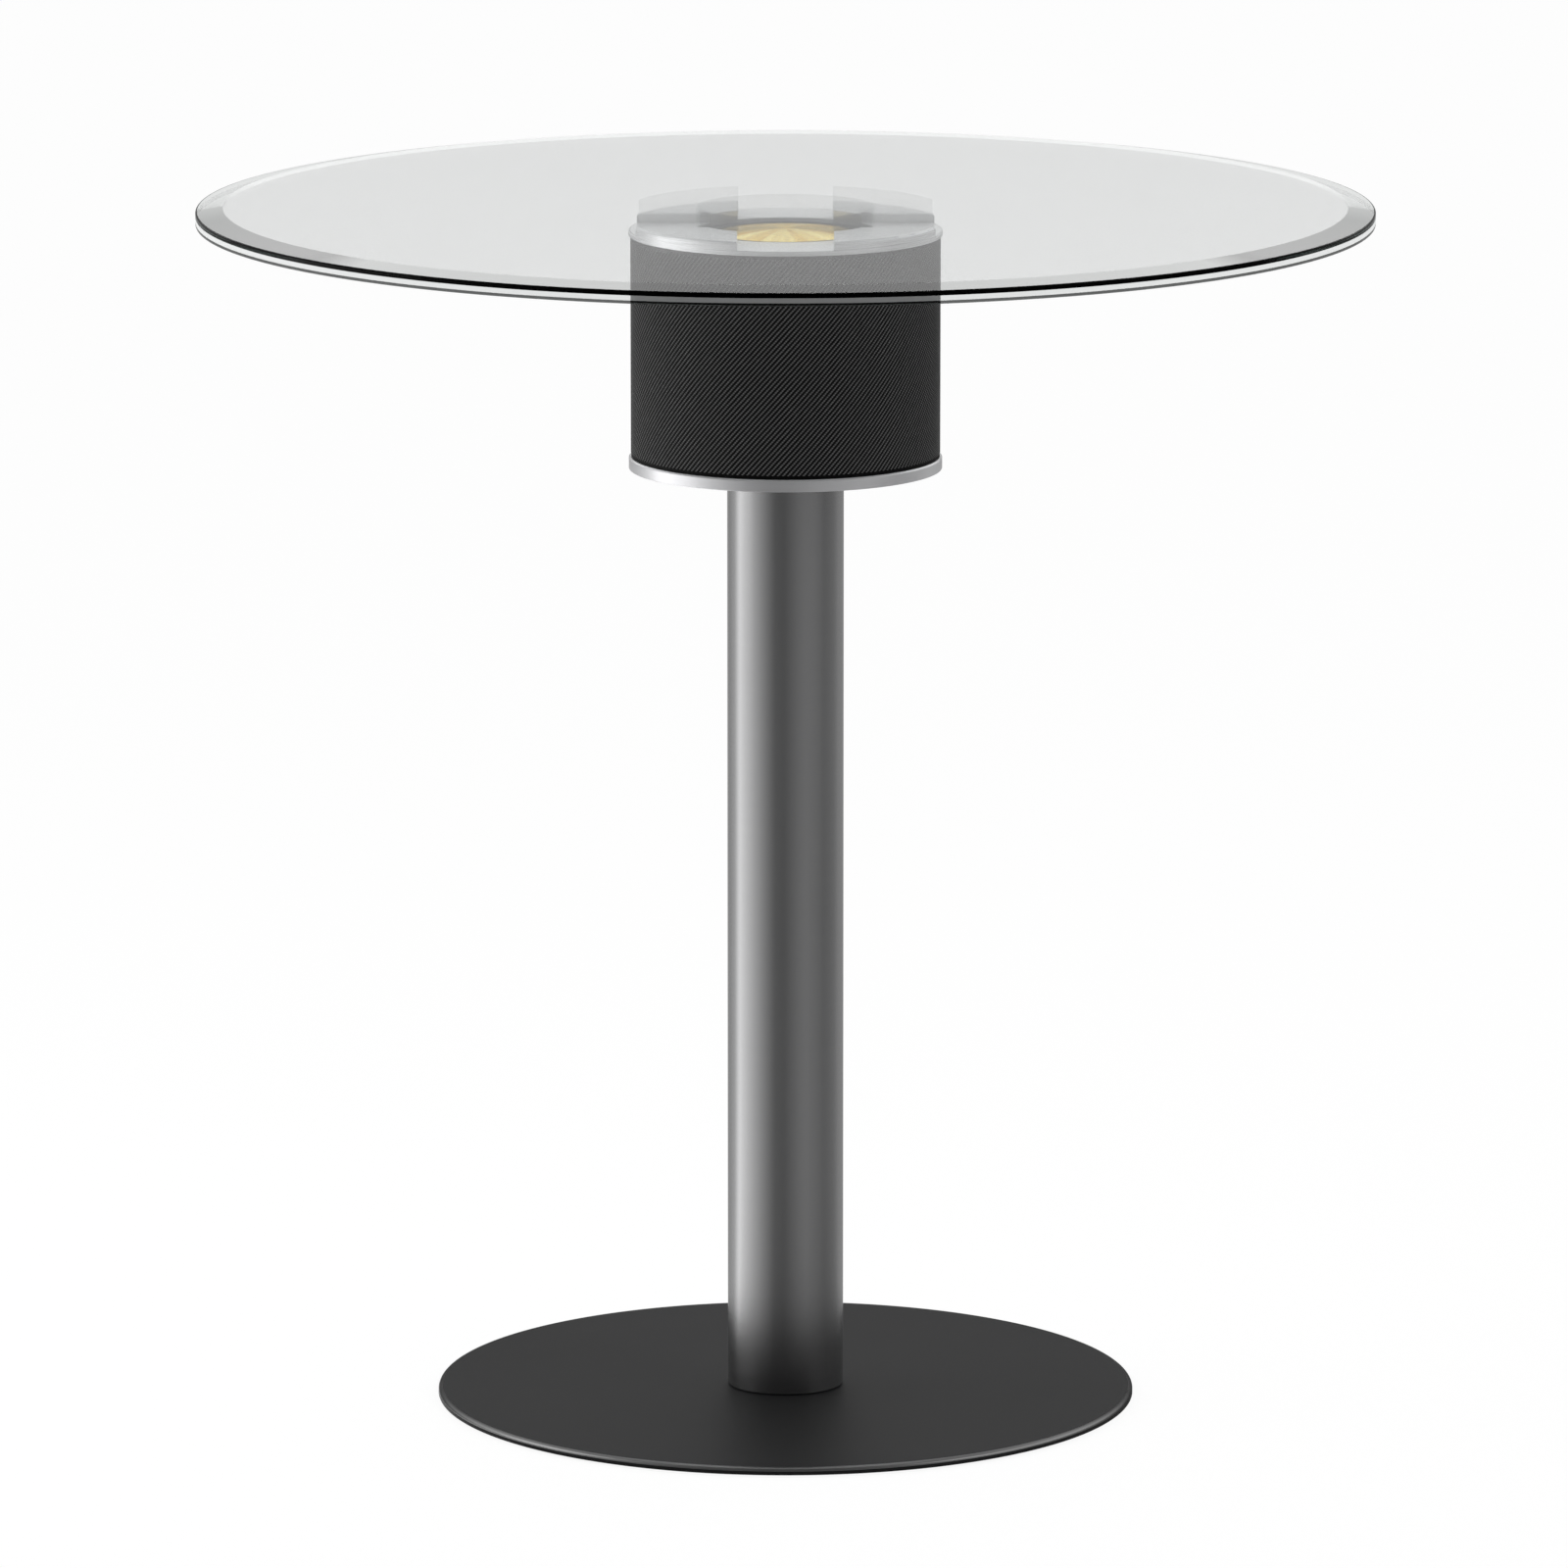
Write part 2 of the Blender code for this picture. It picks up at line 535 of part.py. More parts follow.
def build_sleeve(parent, mesh_black):
    """The mesh sleeve, with a flat hem pressed in at its top and bottom."""
    hem_radius = SLEEVE_RADIUS - HEM_RELIEF
    profile = [
        (SHELL_BORE_RADIUS, 0),
        (hem_radius, 0),
        (hem_radius, HEM_HEIGHT),
        (SLEEVE_RADIUS, HEM_HEIGHT + HEM_RELIEF),
        (SLEEVE_RADIUS, SLEEVE_HEIGHT - HEM_HEIGHT - HEM_RELIEF),
        (hem_radius, SLEEVE_HEIGHT - HEM_HEIGHT),
        (hem_radius, SLEEVE_HEIGHT),
        (SHELL_BORE_RADIUS, SLEEVE_HEIGHT),
    ]
    solid("mesh_sleeve", turned(profile, FACETS_RING), mesh_black, parent, (0, 0, SLEEVE_Z))


def build_cage(parent, black, zinc):
    """The moulded cage inside the sleeve: wall, windows, deck and bosses."""
    height = DECK_TOP_Z - CAGE_Z
    inner = CAGE_RADIUS - CAGE_WALL
    profile = [
        (inner, 0),
        (CAGE_RADIUS, 0),
        (CAGE_RADIUS, height),
        (DECK_OPENING_RADIUS, height),
        (DECK_OPENING_RADIUS, height - DECK_THICKNESS),
        (inner, height - DECK_THICKNESS),
    ]
    cage = solid("inner_cage", turned(profile, FACETS_SHELL), black, parent, (0, 0, CAGE_Z))
    window_height = height - DECK_THICKNESS - WINDOW_SILL - WINDOW_LINTEL
    across = 2 * (CAGE_RADIUS + CUT_OVERRUN)
    for number in range(CAGE_WINDOW_PAIR_COUNT):
        window = drawn_up(rectangle(across, WINDOW_WIDTH), window_height)
        place = (0, 0, CAGE_Z + WINDOW_SILL)
        cutter = combine(cage, f"cage_window_{number}", window, place, "DIFFERENCE")
        cutter.rotation_euler[2] = math.pi * number / CAGE_WINDOW_PAIR_COUNT
    places = on_circle(FLOOR_SCREW_CIRCLE, SHELL_SCREW_COUNT, SHELL_SCREW_FIRST_TURN)
    bore_height = FLOOR_SCREW_GRIP + 2 * FIT_GAP + CUT_OVERRUN
    for number, (x, y) in enumerate(places, 1):
        boss = turned_aside(cylinder(BOSS_RADIUS, BOSS_HEIGHT), FACETS_SCREW)
        combine(cage, f"cage_boss_{number}", boss, (x, y, CAGE_Z), "UNION")
    for number, (x, y) in enumerate(places, 1):
        bore = turned_aside(cylinder(FLOOR_SCREW_SHANK_RADIUS + FIT_GAP, bore_height), FACETS_SCREW)
        combine(cage, f"boss_bore_{number}", bore, (x, y, CAGE_Z - CUT_OVERRUN), "DIFFERENCE")
    shank = CROWN_SCREW_SHANK_RADIUS + FIT_GAP
    through = DECK_THICKNESS + 2 * CUT_OVERRUN
    screw = pan_head(
        CROWN_SCREW_HEAD_RADIUS,
        CROWN_SCREW_HEAD_HEIGHT,
        CROWN_SCREW_SHANK_RADIUS,
        DECK_THICKNESS + 2 * FIT_GAP + CROWN_SCREW_DEPTH,
    )
    places = on_circle(CROWN_SCREW_CIRCLE, SHELL_SCREW_COUNT, SHELL_SCREW_FIRST_TURN)
    for number, (x, y) in enumerate(places, 1):
        hole = turned_aside(cylinder(shank, through), FACETS_SCREW)
        combine(cage, f"deck_hole_{number}", hole, (x, y, DECK_Z - CUT_OVERRUN), "DIFFERENCE")
        seat = (x, y, DECK_Z - FIT_GAP)
        solid(f"crown_screw_{number}", turned_aside(screw, FACETS_SCREW), zinc, parent, seat)
    shank = DRIVER_SCREW_SHANK_RADIUS + FIT_GAP
    places = on_circle(DRIVER_SCREW_CIRCLE, DRIVER_SCREW_COUNT, DRIVER_SCREW_FIRST_TURN)
    for number, (x, y) in enumerate(places, 1):
        hole = turned_aside(cylinder(shank, through), FACETS_SCREW)
        combine(cage, f"driver_hole_{number}", hole, (x, y, DECK_Z - CUT_OVERRUN), "DIFFERENCE")


def pad_outline(outer, inner):
    """One quarter of a ring with the cross of slots taken out of it."""
    half = SLOT_WIDTH / 2
    turn_out = math.asin(half / outer)
    turn_in = math.asin(half / inner)
    outside = arc(0, 0, outer, outer, turn_out, math.pi / 2 - turn_out, FACETS_ARC)
    inside = arc(0, 0, inner, inner, math.pi / 2 - turn_in, turn_in, FACETS_ARC // 2)
    return outside + inside


def build_crown(parent, aluminium):
    """The aluminium ring on the drum: two crossed slots leave four pads."""
    drop = CROWN_SPIGOT_DROP
    profile = [
        (CROWN_OPENING_RADIUS, drop),
        (CROWN_SPIGOT_RADIUS, drop),
        (CROWN_SPIGOT_RADIUS, 0),
        (CAGE_RADIUS, 0),
        (CAGE_RADIUS, drop),
        (RING_RADIUS, drop),
        (RING_RADIUS, drop + CROWN_HEIGHT - CROWN_CHAMFER),
        (RING_RADIUS - CROWN_CHAMFER, drop + CROWN_HEIGHT),
        (CROWN_OPENING_RADIUS, drop + CROWN_HEIGHT),
    ]
    place = (0, 0, CROWN_Z - drop)
    crown = solid("slotted_crown", turned(profile, FACETS_RING), aluminium, parent, place)
    across = 2 * (RING_RADIUS + CUT_OVERRUN)
    cut_height = SLOT_DEPTH + CUT_OVERRUN
    sizes = {"slot_along_x": (across, SLOT_WIDTH), "slot_along_y": (SLOT_WIDTH, across)}
    for name, (length, depth) in sizes.items():
        slot = drawn_up(rectangle(length, depth), cut_height)
        combine(crown, name, slot, (0, 0, SLOT_Z), "DIFFERENCE")
    places = on_circle(CROWN_SCREW_CIRCLE, SHELL_SCREW_COUNT, SHELL_SCREW_FIRST_TURN)
    bore_height = CUT_OVERRUN + CROWN_SCREW_DEPTH + 2 * FIT_GAP
    for number, (x, y) in enumerate(places, 1):
        bore = turned_aside(cylinder(CROWN_SCREW_SHANK_RADIUS + FIT_GAP, bore_height), FACETS_SCREW)
        bore_z = CROWN_Z - drop - CUT_OVERRUN
        combine(crown, f"crown_bore_{number}", bore, (x, y, bore_z), "DIFFERENCE")


def build_blocks(parent, clear):
    """Four clear blocks with the pads' outline, which carry the glass."""
    outline = pad_outline(RING_RADIUS - CROWN_CHAMFER, CROWN_OPENING_RADIUS)
    for number in range(1, 5):
        block = drawn_up(outline, BLOCK_HEIGHT)
        obj = solid(f"clear_block_{number}", block, clear, parent, (0, 0, BLOCK_Z))
        obj.rotation_euler[2] = math.pi / 2 * (number - 1)


def build_glass(parent, clear):
    """The bevelled glass disc, its lower and upper edges broken."""
    rim_top = GLASS_THICKNESS - GLASS_BEVEL_DROP
    profile = [
        (0, 0),
        (GLASS_RADIUS - GLASS_EDGE_BREAK, 0),
        (GLASS_RADIUS, GLASS_EDGE_BREAK),
        (GLASS_RADIUS, rim_top - GLASS_EDGE_BREAK),
        (GLASS_RADIUS - GLASS_EDGE_BREAK, rim_top),
        (GLASS_RADIUS - GLASS_BEVEL_WIDTH, GLASS_THICKNESS),
        (0, GLASS_THICKNESS),
    ]
    solid("glass_top", turned(profile, FACETS_WIDE), clear, parent, (0, 0, GLASS_Z))


def build_lights(parent, board_white, clear):
    """The ring board with its chips, and the clear tube that they light."""
    outer = DRIVER_RADIUS + FIT_GAP + LIGHT_BOARD_WIDTH
    ring = tube(outer, DRIVER_RADIUS + FIT_GAP, LIGHT_BOARD_THICKNESS, FACETS_SHELL)
    board = solid("light_board", ring, board_white, parent, (0, 0, LIGHT_BOARD_Z))
    chips = bmesh.new()
    base_z = LIGHT_BOARD_THICKNESS / 2
    middle = GUIDE_RADIUS - GUIDE_WALL / 2
    for x, y in on_circle(middle, LIGHT_CHIP_COUNT, 0):
        turn = math.atan2(y, x)
        corners = rectangle(LIGHT_CHIP_WIDTH, LIGHT_CHIP_LENGTH)
        outline = [
            (
                x + a * math.cos(turn) - b * math.sin(turn),
                y + a * math.sin(turn) + b * math.cos(turn),
            )
            for a, b in corners
        ]
        chip = drawn_up(outline, base_z + LIGHT_CHIP_HEIGHT)
        mesh = bpy.data.meshes.new("chip")
        chip.to_mesh(mesh)
        chip.free()
        chips.from_mesh(mesh)
        bpy.data.meshes.remove(mesh)
    combine(board, "light_chips", chips, (0, 0, LIGHT_BOARD_Z + base_z), "UNION")
    guide_height = GLASS_Z - FIT_GAP - GUIDE_Z
    guide = tube(GUIDE_RADIUS, GUIDE_RADIUS - GUIDE_WALL, guide_height, FACETS_SHELL)
    solid("light_guide", guide, clear, parent, (0, 0, GUIDE_Z))


def build_basket(parent, steel, zinc):
    """The driver's pressed basket with its windows, and its four screws."""
    seat = -BASKET_DEPTH
    bore = COIL_RADIUS + COIL_GAP
    profile = [
        (DRIVER_RADIUS, 0),
        (DRIVER_RADIUS, BASKET_FLANGE_THICKNESS),
        (BASKET_MOUTH_RADIUS, BASKET_FLANGE_THICKNESS),
        (BASKET_SEAT_RADIUS, seat),
        (bore, seat),
        (bore, seat - BASKET_WALL),
        (BASKET_SEAT_RADIUS + BASKET_WALL, seat - BASKET_WALL),
        (BASKET_MOUTH_RADIUS + BASKET_WALL, -DECK_THICKNESS),
        (BASKET_MOUTH_RADIUS + BASKET_WALL, 0),
    ]
    basket = solid("driver_basket", turned(profile, FACETS_DRIVER), steel, parent, (0, 0, DRIVER_Z))
    window_z = BASKET_SEAT_Z + BASKET_WINDOW_MARGIN
    window_height = BASKET_DEPTH - DECK_THICKNESS - 2 * BASKET_WINDOW_MARGIN
    across = 2 * DRIVER_RADIUS
    for number in range(BASKET_WINDOW_PAIR_COUNT):
        window = drawn_up(rectangle(across, BASKET_WINDOW_WIDTH), window_height)
        cutter = combine(basket, f"basket_window_{number}", window, (0, 0, window_z), "DIFFERENCE")
        cutter.rotation_euler[2] = math.pi * number / BASKET_WINDOW_PAIR_COUNT
    head_seat = BASKET_FLANGE_TOP_Z + FIT_GAP
    screw = pan_head(
        DRIVER_SCREW_HEAD_RADIUS,
        DRIVER_SCREW_HEAD_HEIGHT,
        DRIVER_SCREW_SHANK_RADIUS,
        DRIVER_SCREW_LENGTH,
    )
    through = BASKET_FLANGE_THICKNESS + 2 * CUT_OVERRUN
    places = on_circle(DRIVER_SCREW_CIRCLE, DRIVER_SCREW_COUNT, DRIVER_SCREW_FIRST_TURN)
    for number, (x, y) in enumerate(places, 1):
        hole = turned_aside(cylinder(DRIVER_SCREW_SHANK_RADIUS + FIT_GAP, through), FACETS_SCREW)
        combine(basket, f"flange_hole_{number}", hole, (x, y, DRIVER_Z - CUT_OVERRUN), "DIFFERENCE")
        downward = [(radius, -height) for radius, height in reversed(screw)]
        solid(f"driver_screw_{number}", turned_aside(downward, FACETS_SCREW), zinc, parent, (x, y, head_seat))


def build_surround(parent, rubber):
    """The half-roll rubber surround between basket and diaphragm."""
    thickness = SURROUND_THICKNESS
    middle = SURROUND_ROLL_MIDDLE
    inside = SURROUND_ROLL_RADIUS
    outside = inside + thickness
    start = math.asin(thickness / outside)
    over = arc(middle, 0, outside, outside, start, math.pi - start, SURROUND_ROLL_STEPS)
    under = arc(middle, 0, inside, inside, math.pi, 0, SURROUND_ROLL_STEPS)
    profile = [(SURROUND_LIP_RADIUS, 0)] + under
    profile += [(SURROUND_RADIUS, 0), (SURROUND_RADIUS, thickness)] + over
    profile += [(SURROUND_LIP_RADIUS, thickness)]
    solid("driver_surround", turned(profile, FACETS_DRIVER), rubber, parent, (0, 0, SURROUND_Z))


def dome_height(radius):
    """Height of the diaphragm's face above its rim, a shallow parabola."""
    share = radius / DIAPHRAGM_RADIUS
    return DIAPHRAGM_RISE * (1 - share * share)


def build_diaphragm(parent, gold, coil_grey):
    """The gold dome, and the coil former that hangs from it."""
    shares = [step / DIAPHRAGM_STEPS for step in range(DIAPHRAGM_STEPS + 1)]
    radii = [DIAPHRAGM_RADIUS * share for share in shares]
    under = [(radius, dome_height(radius) - DIAPHRAGM_THICKNESS) for radius in radii]
    face = [(radius, dome_height(radius)) for radius in reversed(radii)]
    dome = turned(under + face, FACETS_DRIVER)
    solid("gold_diaphragm", dome, gold, parent, (0, 0, DIAPHRAGM_Z))
    top_z = DIAPHRAGM_Z + dome_height(COIL_RADIUS) - DIAPHRAGM_THICKNESS - FIT_GAP
    bottom_z = MOTOR_PLATE_Z + MOTOR_PLATE_THICKNESS - COIL_OVERLAP
    former = tube(COIL_RADIUS, COIL_RADIUS - COIL_WALL, top_z - bottom_z, FACETS_INNER)
    solid("voice_coil", former, coil_grey, parent, (0, 0, bottom_z))


def build_spider(parent, cloth_brown):
    """The corrugated disc that centres the coil, glued to the basket."""
    inner = COIL_RADIUS + FIT_GAP
    steps = SPIDER_WAVE_COUNT * SPIDER_STEPS_PER_WAVE
    under = []
    over = []
    for step in range(steps + 1):
        radius = inner + SPIDER_WIDTH * step / steps
        wave = SPIDER_WAVE * (1 - math.cos(2 * math.pi * step / SPIDER_STEPS_PER_WAVE)) / 2
        under.append((radius, wave))
        over.append((radius, wave + SPIDER_HEIGHT))
    profile = under + over[::-1]
    place = (0, 0, BASKET_SEAT_Z + FIT_GAP)
    solid("driver_spider", turned(profile, FACETS_INNER), cloth_brown, parent, place)


def build_motor(parent, zinc, ferrite):
    """Top plate, ring magnet and the yoke with its pole."""
    bore = COIL_RADIUS + COIL_GAP
    top = tube(MOTOR_PLATE_RADIUS, bore, MOTOR_PLATE_THICKNESS, FACETS_INNER)
    solid("motor_top_plate", top, zinc, parent, (0, 0, MOTOR_PLATE_Z))
    magnet = tube(MAGNET_RADIUS, MAGNET_BORE_RADIUS, MAGNET_HEIGHT, FACETS_INNER)
    solid("ring_magnet", magnet, ferrite, parent, (0, 0, MAGNET_Z))
    profile = [
        (0, 0),
        (MOTOR_PLATE_RADIUS, 0),
        (MOTOR_PLATE_RADIUS, MOTOR_PLATE_THICKNESS),
        (POLE_RADIUS, MOTOR_PLATE_THICKNESS),
        (POLE_RADIUS, POLE_HEIGHT),
        (0, POLE_HEIGHT),
    ]
    solid("motor_yoke", turned(profile, FACETS_INNER), zinc, parent, (0, 0, YOKE_Z))


def build_battery(parent, black, cell_blue):
    """The moulded holder on the drum's floor and the cells standing in it."""
    ring = tube(HOLDER_RADIUS, HOLDER_BORE_RADIUS, HOLDER_HEIGHT, FACETS_INNER)
    holder_z = FLOOR_PLATE_TOP_Z + FIT_GAP
    holder = solid("battery_holder", ring, black, parent, (0, 0, holder_z))
    cell_z = holder_z + HOLDER_FLOOR + FIT_GAP
    profile = [
        (0, 0),
        (CELL_RADIUS, 0),
        (CELL_RADIUS, CELL_HEIGHT),
        (CELL_BUTTON_RADIUS, CELL_HEIGHT),
        (CELL_BUTTON_RADIUS, CELL_HEIGHT + CELL_BUTTON_HEIGHT),
        (0, CELL_HEIGHT + CELL_BUTTON_HEIGHT),
    ]
    pocket_z = holder_z + HOLDER_FLOOR
    pocket_height = HOLDER_HEIGHT - HOLDER_FLOOR + CUT_OVERRUN
    for number, (x, y) in enumerate(on_circle(CELL_CIRCLE_RADIUS, CELL_COUNT, 0), 1):
        solid(f"battery_cell_{number}", turned_aside(profile, FACETS_ROD), cell_blue, parent, (x, y, cell_z))
        pocket = turned_aside(cylinder(CELL_RADIUS + FIT_GAP, pocket_height), FACETS_ROD)
        combine(holder, f"cell_pocket_{number}", pocket, (x, y, pocket_z), "DIFFERENCE")


def build_controls(parent, board_green, black, steel):
    """The control board, and the switch and charging inlet under it."""
    board = drawn_up(rectangle(BOARD_LENGTH, BOARD_DEPTH), BOARD_THICKNESS)
    solid("control_board", board, board_green, parent, (0, BOARD_Y, BOARD_Z))
    switch_z = BOARD_Z - FIT_GAP - SWITCH_HEIGHT
    switch = drawn_up(rectangle(SWITCH_SIDE, SWITCH_SIDE), SWITCH_HEIGHT)
    solid("power_switch", switch, black, parent, (-CONTROL_SPREAD, BOARD_Y, switch_z))
    height = BOARD_Z - FIT_GAP - FLOOR_PLATE_Z
    shell = drawn_up(obround(INLET_LENGTH, INLET_WIDTH, FACETS_ARC), height)
    place = (CONTROL_SPREAD, BOARD_Y, FLOOR_PLATE_Z)
    inlet = solid("charging_inlet", shell, steel, parent, place)
    mouth_length = INLET_LENGTH - 2 * INLET_SHELL
    mouth_width = INLET_WIDTH - 2 * INLET_SHELL
    mouth = drawn_up(obround(mouth_length, mouth_width, FACETS_ARC), INLET_DEPTH + CUT_OVERRUN)
    mouth_place = (CONTROL_SPREAD, BOARD_Y, FLOOR_PLATE_Z - CUT_OVERRUN)
    combine(inlet, "inlet_mouth", mouth, mouth_place, "DIFFERENCE")
    tongue = drawn_up(rectangle(INLET_TONGUE_LENGTH, INLET_TONGUE_WIDTH), height - INLET_SHELL * 2)
    tongue_place = (CONTROL_SPREAD, BOARD_Y, FLOOR_PLATE_Z + INLET_SHELL)
    combine(inlet, "inlet_tongue", tongue, tongue_place, "UNION")


def build_button(parent, black):
    """The power button: a cap under the drum, with a flange that keeps it in
    and a stem that meets the switch. Its origin lies on its sliding axis."""
    face = -FIT_GAP - FLOOR_PLATE_THICKNESS - BUTTON_PROUD
    switch_z = BOARD_Z - FIT_GAP - SWITCH_HEIGHT
    stem_top = switch_z - FIT_GAP - BUTTON_TRAVEL - BUTTON_FLANGE_Z
    profile = [
        (0, face),
        (BUTTON_RADIUS - BUTTON_EDGE_BREAK, face),
        (BUTTON_RADIUS, face + BUTTON_EDGE_BREAK),
        (BUTTON_RADIUS, 0),
        (BUTTON_RADIUS + BUTTON_FLANGE_WIDTH, 0),
        (BUTTON_RADIUS + BUTTON_FLANGE_WIDTH, BUTTON_FLANGE_THICKNESS),
        (BUTTON_STEM_RADIUS, BUTTON_FLANGE_THICKNESS),
        (BUTTON_STEM_RADIUS, stem_top),
        (0, stem_top),
    ]
    place = (-CONTROL_SPREAD, BOARD_Y, BUTTON_FLANGE_Z)
    solid("power_button", turned_aside(profile, FACETS_ROD), black, parent, place)


def main():
    clear_scene()
    charcoal = finish("charcoal powder coat", (0.052, 0.052, 0.052), 0.5, 0.0)
    rubber = finish("black rubber", (0.03, 0.03, 0.03), 0.8, 0.0)
    brushed = finish("dark brushed steel", (0.22, 0.22, 0.22), 0.35, 1.0)
    zinc = finish("zinc plated steel", (0.62, 0.62, 0.60), 0.4, 1.0)
    aluminium = finish("satin aluminium", (0.80, 0.80, 0.81), 0.3, 1.0)
    mesh_black = finish("black woven mesh", (0.03, 0.03, 0.03), 0.6, 0.3)
    black = finish("black moulding", (0.025, 0.025, 0.025), 0.5, 0.0)
    clear = finish("clear acrylic", (0.93, 0.95, 0.96), 0.05, 0.0, 0.35)
    glass = finish("clear glass", (0.90, 0.94, 0.93), 0.02, 0.0, 0.35)
    gold = finish("spun gold", (0.85, 0.65, 0.30), 0.3, 1.0)
    ferrite = finish("ferrite", (0.09, 0.09, 0.09), 0.7, 0.0)
    coil_grey = finish("coil former", (0.45, 0.42, 0.36), 0.6, 0.0)
    cloth_brown = finish("spider cloth", (0.50, 0.36, 0.16), 0.9, 0.0)
    board_white = finish("white board", (0.80, 0.80, 0.78), 0.5, 0.0)
    board_green = finish("green board", (0.03, 0.20, 0.09), 0.5, 0.0)
    cell_blue = finish("cell wrap", (0.07, 0.18, 0.42), 0.4, 0.0)

    foot = group("pedestal", 0)
    drum = group("drum", DRUM_Z)
    driver = group("driver", DRIVER_Z)
    top = group("top", CROWN_TOP_Z)

    build_base(foot, charcoal, rubber, zinc)
    build_column(foot, brushed, zinc)
    build_lower_ring(drum, aluminium, zinc)
    build_floor_plate(drum, black)
    build_sleeve(drum, mesh_black)
    build_cage(drum, black, zinc)
    build_crown(drum, aluminium)
    build_battery(drum, black, cell_blue)
    build_controls(drum, board_green, black, zinc)
    build_button(drum, black)
    build_lights(driver, board_white, clear)
    build_basket(driver, black, zinc)
    build_surround(driver, rubber)
    build_diaphragm(driver, gold, coil_grey)
    build_spider(driver, cloth_brown)
    build_motor(driver, zinc, ferrite)
    build_blocks(top, clear)
    build_glass(top, glass)


main()
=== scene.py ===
# %% [markdown]
# # A glass side table that lights up
#
# A round bevelled glass stands on a slim column. Under the glass hangs a drum wrapped in
# black mesh, with a gold speaker dome and a ring of lights looking up through it. The
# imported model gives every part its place. This lesson dresses that model: it measures it,
# sets up a small studio, works out finer surfaces with numpy, and writes each finish.

import json
import math

import bmesh
import bpy
import numpy as np
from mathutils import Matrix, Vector


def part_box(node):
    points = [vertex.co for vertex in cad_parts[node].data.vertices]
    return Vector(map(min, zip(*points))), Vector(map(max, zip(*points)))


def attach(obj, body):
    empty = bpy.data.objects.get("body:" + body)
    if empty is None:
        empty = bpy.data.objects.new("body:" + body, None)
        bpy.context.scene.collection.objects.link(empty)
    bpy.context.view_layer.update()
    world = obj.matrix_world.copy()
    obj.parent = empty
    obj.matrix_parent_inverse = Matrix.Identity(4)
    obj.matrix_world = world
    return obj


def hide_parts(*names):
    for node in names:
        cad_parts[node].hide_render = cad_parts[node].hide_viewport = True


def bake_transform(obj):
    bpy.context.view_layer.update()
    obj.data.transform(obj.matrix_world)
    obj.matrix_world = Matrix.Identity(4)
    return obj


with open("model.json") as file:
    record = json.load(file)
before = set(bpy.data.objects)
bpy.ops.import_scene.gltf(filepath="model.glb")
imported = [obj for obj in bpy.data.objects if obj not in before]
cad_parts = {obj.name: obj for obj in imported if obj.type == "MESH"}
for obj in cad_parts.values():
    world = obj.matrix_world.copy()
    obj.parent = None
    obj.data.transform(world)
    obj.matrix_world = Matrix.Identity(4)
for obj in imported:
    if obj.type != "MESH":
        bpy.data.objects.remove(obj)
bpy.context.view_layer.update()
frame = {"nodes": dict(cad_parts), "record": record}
nodes = frame["nodes"]

# %% [markdown]
# ## The camera
#
# The outlines of glass, foot and column in the photograph agree on one long lens. It stands
# more than six metres away, above the height of the glass, and is tipped down by eleven
# degrees. A long lens keeps the ellipses of glass and foot almost alike, which is why the
# picture looks so calm.

# %% Camera
PICTURE_PIXELS = 1600
FOCAL_PIXELS = 11417
SENSOR_WIDTH = 36
CAMERA_PLACE = (-0.0009, -6.587, 1.6378)
TIPPED_DOWN = math.radians(10.86)
camera_data = bpy.data.cameras.new("camera")
camera_data.sensor_width = SENSOR_WIDTH
camera_data.lens = FOCAL_PIXELS / PICTURE_PIXELS * SENSOR_WIDTH
camera = bpy.data.objects.new("camera", camera_data)
camera.location = CAMERA_PLACE
camera.rotation_euler = (math.pi / 2 - TIPPED_DOWN, 0, 0)
bpy.context.scene.collection.objects.link(camera)
bpy.context.scene.camera = camera
bpy.context.scene.view_settings.view_transform = "Standard"
print("lens:", round(camera_data.lens, 1), "mm")

# %% [markdown]
# ## Shader maths as Python
#
# A pattern is arithmetic on positions, so it reads best as arithmetic. A Value wraps one
# output socket, and each operator on it adds the Math node that does that sum.


# %% A socket that does sums
class Value:
    """An output socket that can be used in sums: each operator adds a Math node."""

    def __init__(self, graph, socket):
        self.graph = graph
        self.socket = socket

    def other(self, name):
        """Another output of the same node."""
        return Value(self.graph, self.socket.node.outputs[name])

    def maths(self, operation, *others):
        """Any Math node, with this value first and the others after it."""
        sockets = dict(enumerate((self, *others)))
        return self.graph.node("ShaderNodeMath", {"operation": operation}, sockets)

    def clipped(self):
        """The value, held between 0 and 1."""
        return self.maths("MAXIMUM", 0).maths("MINIMUM", 1)

    def __add__(self, other):
        return self.maths("ADD", other)

    def __sub__(self, other):
        return self.maths("SUBTRACT", other)

    def __rsub__(self, other):
        return (self * -1) + other

    def __mul__(self, other):
        return self.maths("MULTIPLY", other)

    def __truediv__(self, other):
        return self.maths("DIVIDE", other)

    def __pow__(self, other):
        return self.maths("POWER", other)

    __radd__ = __add__
    __rmul__ = __mul__


print("sums ready")

# %% [markdown]
# Every other node comes from one method of the Graph that it belongs to. It takes the kind
# of node, its settings and its sockets, so a node is one line. The sky is a plain Graph.


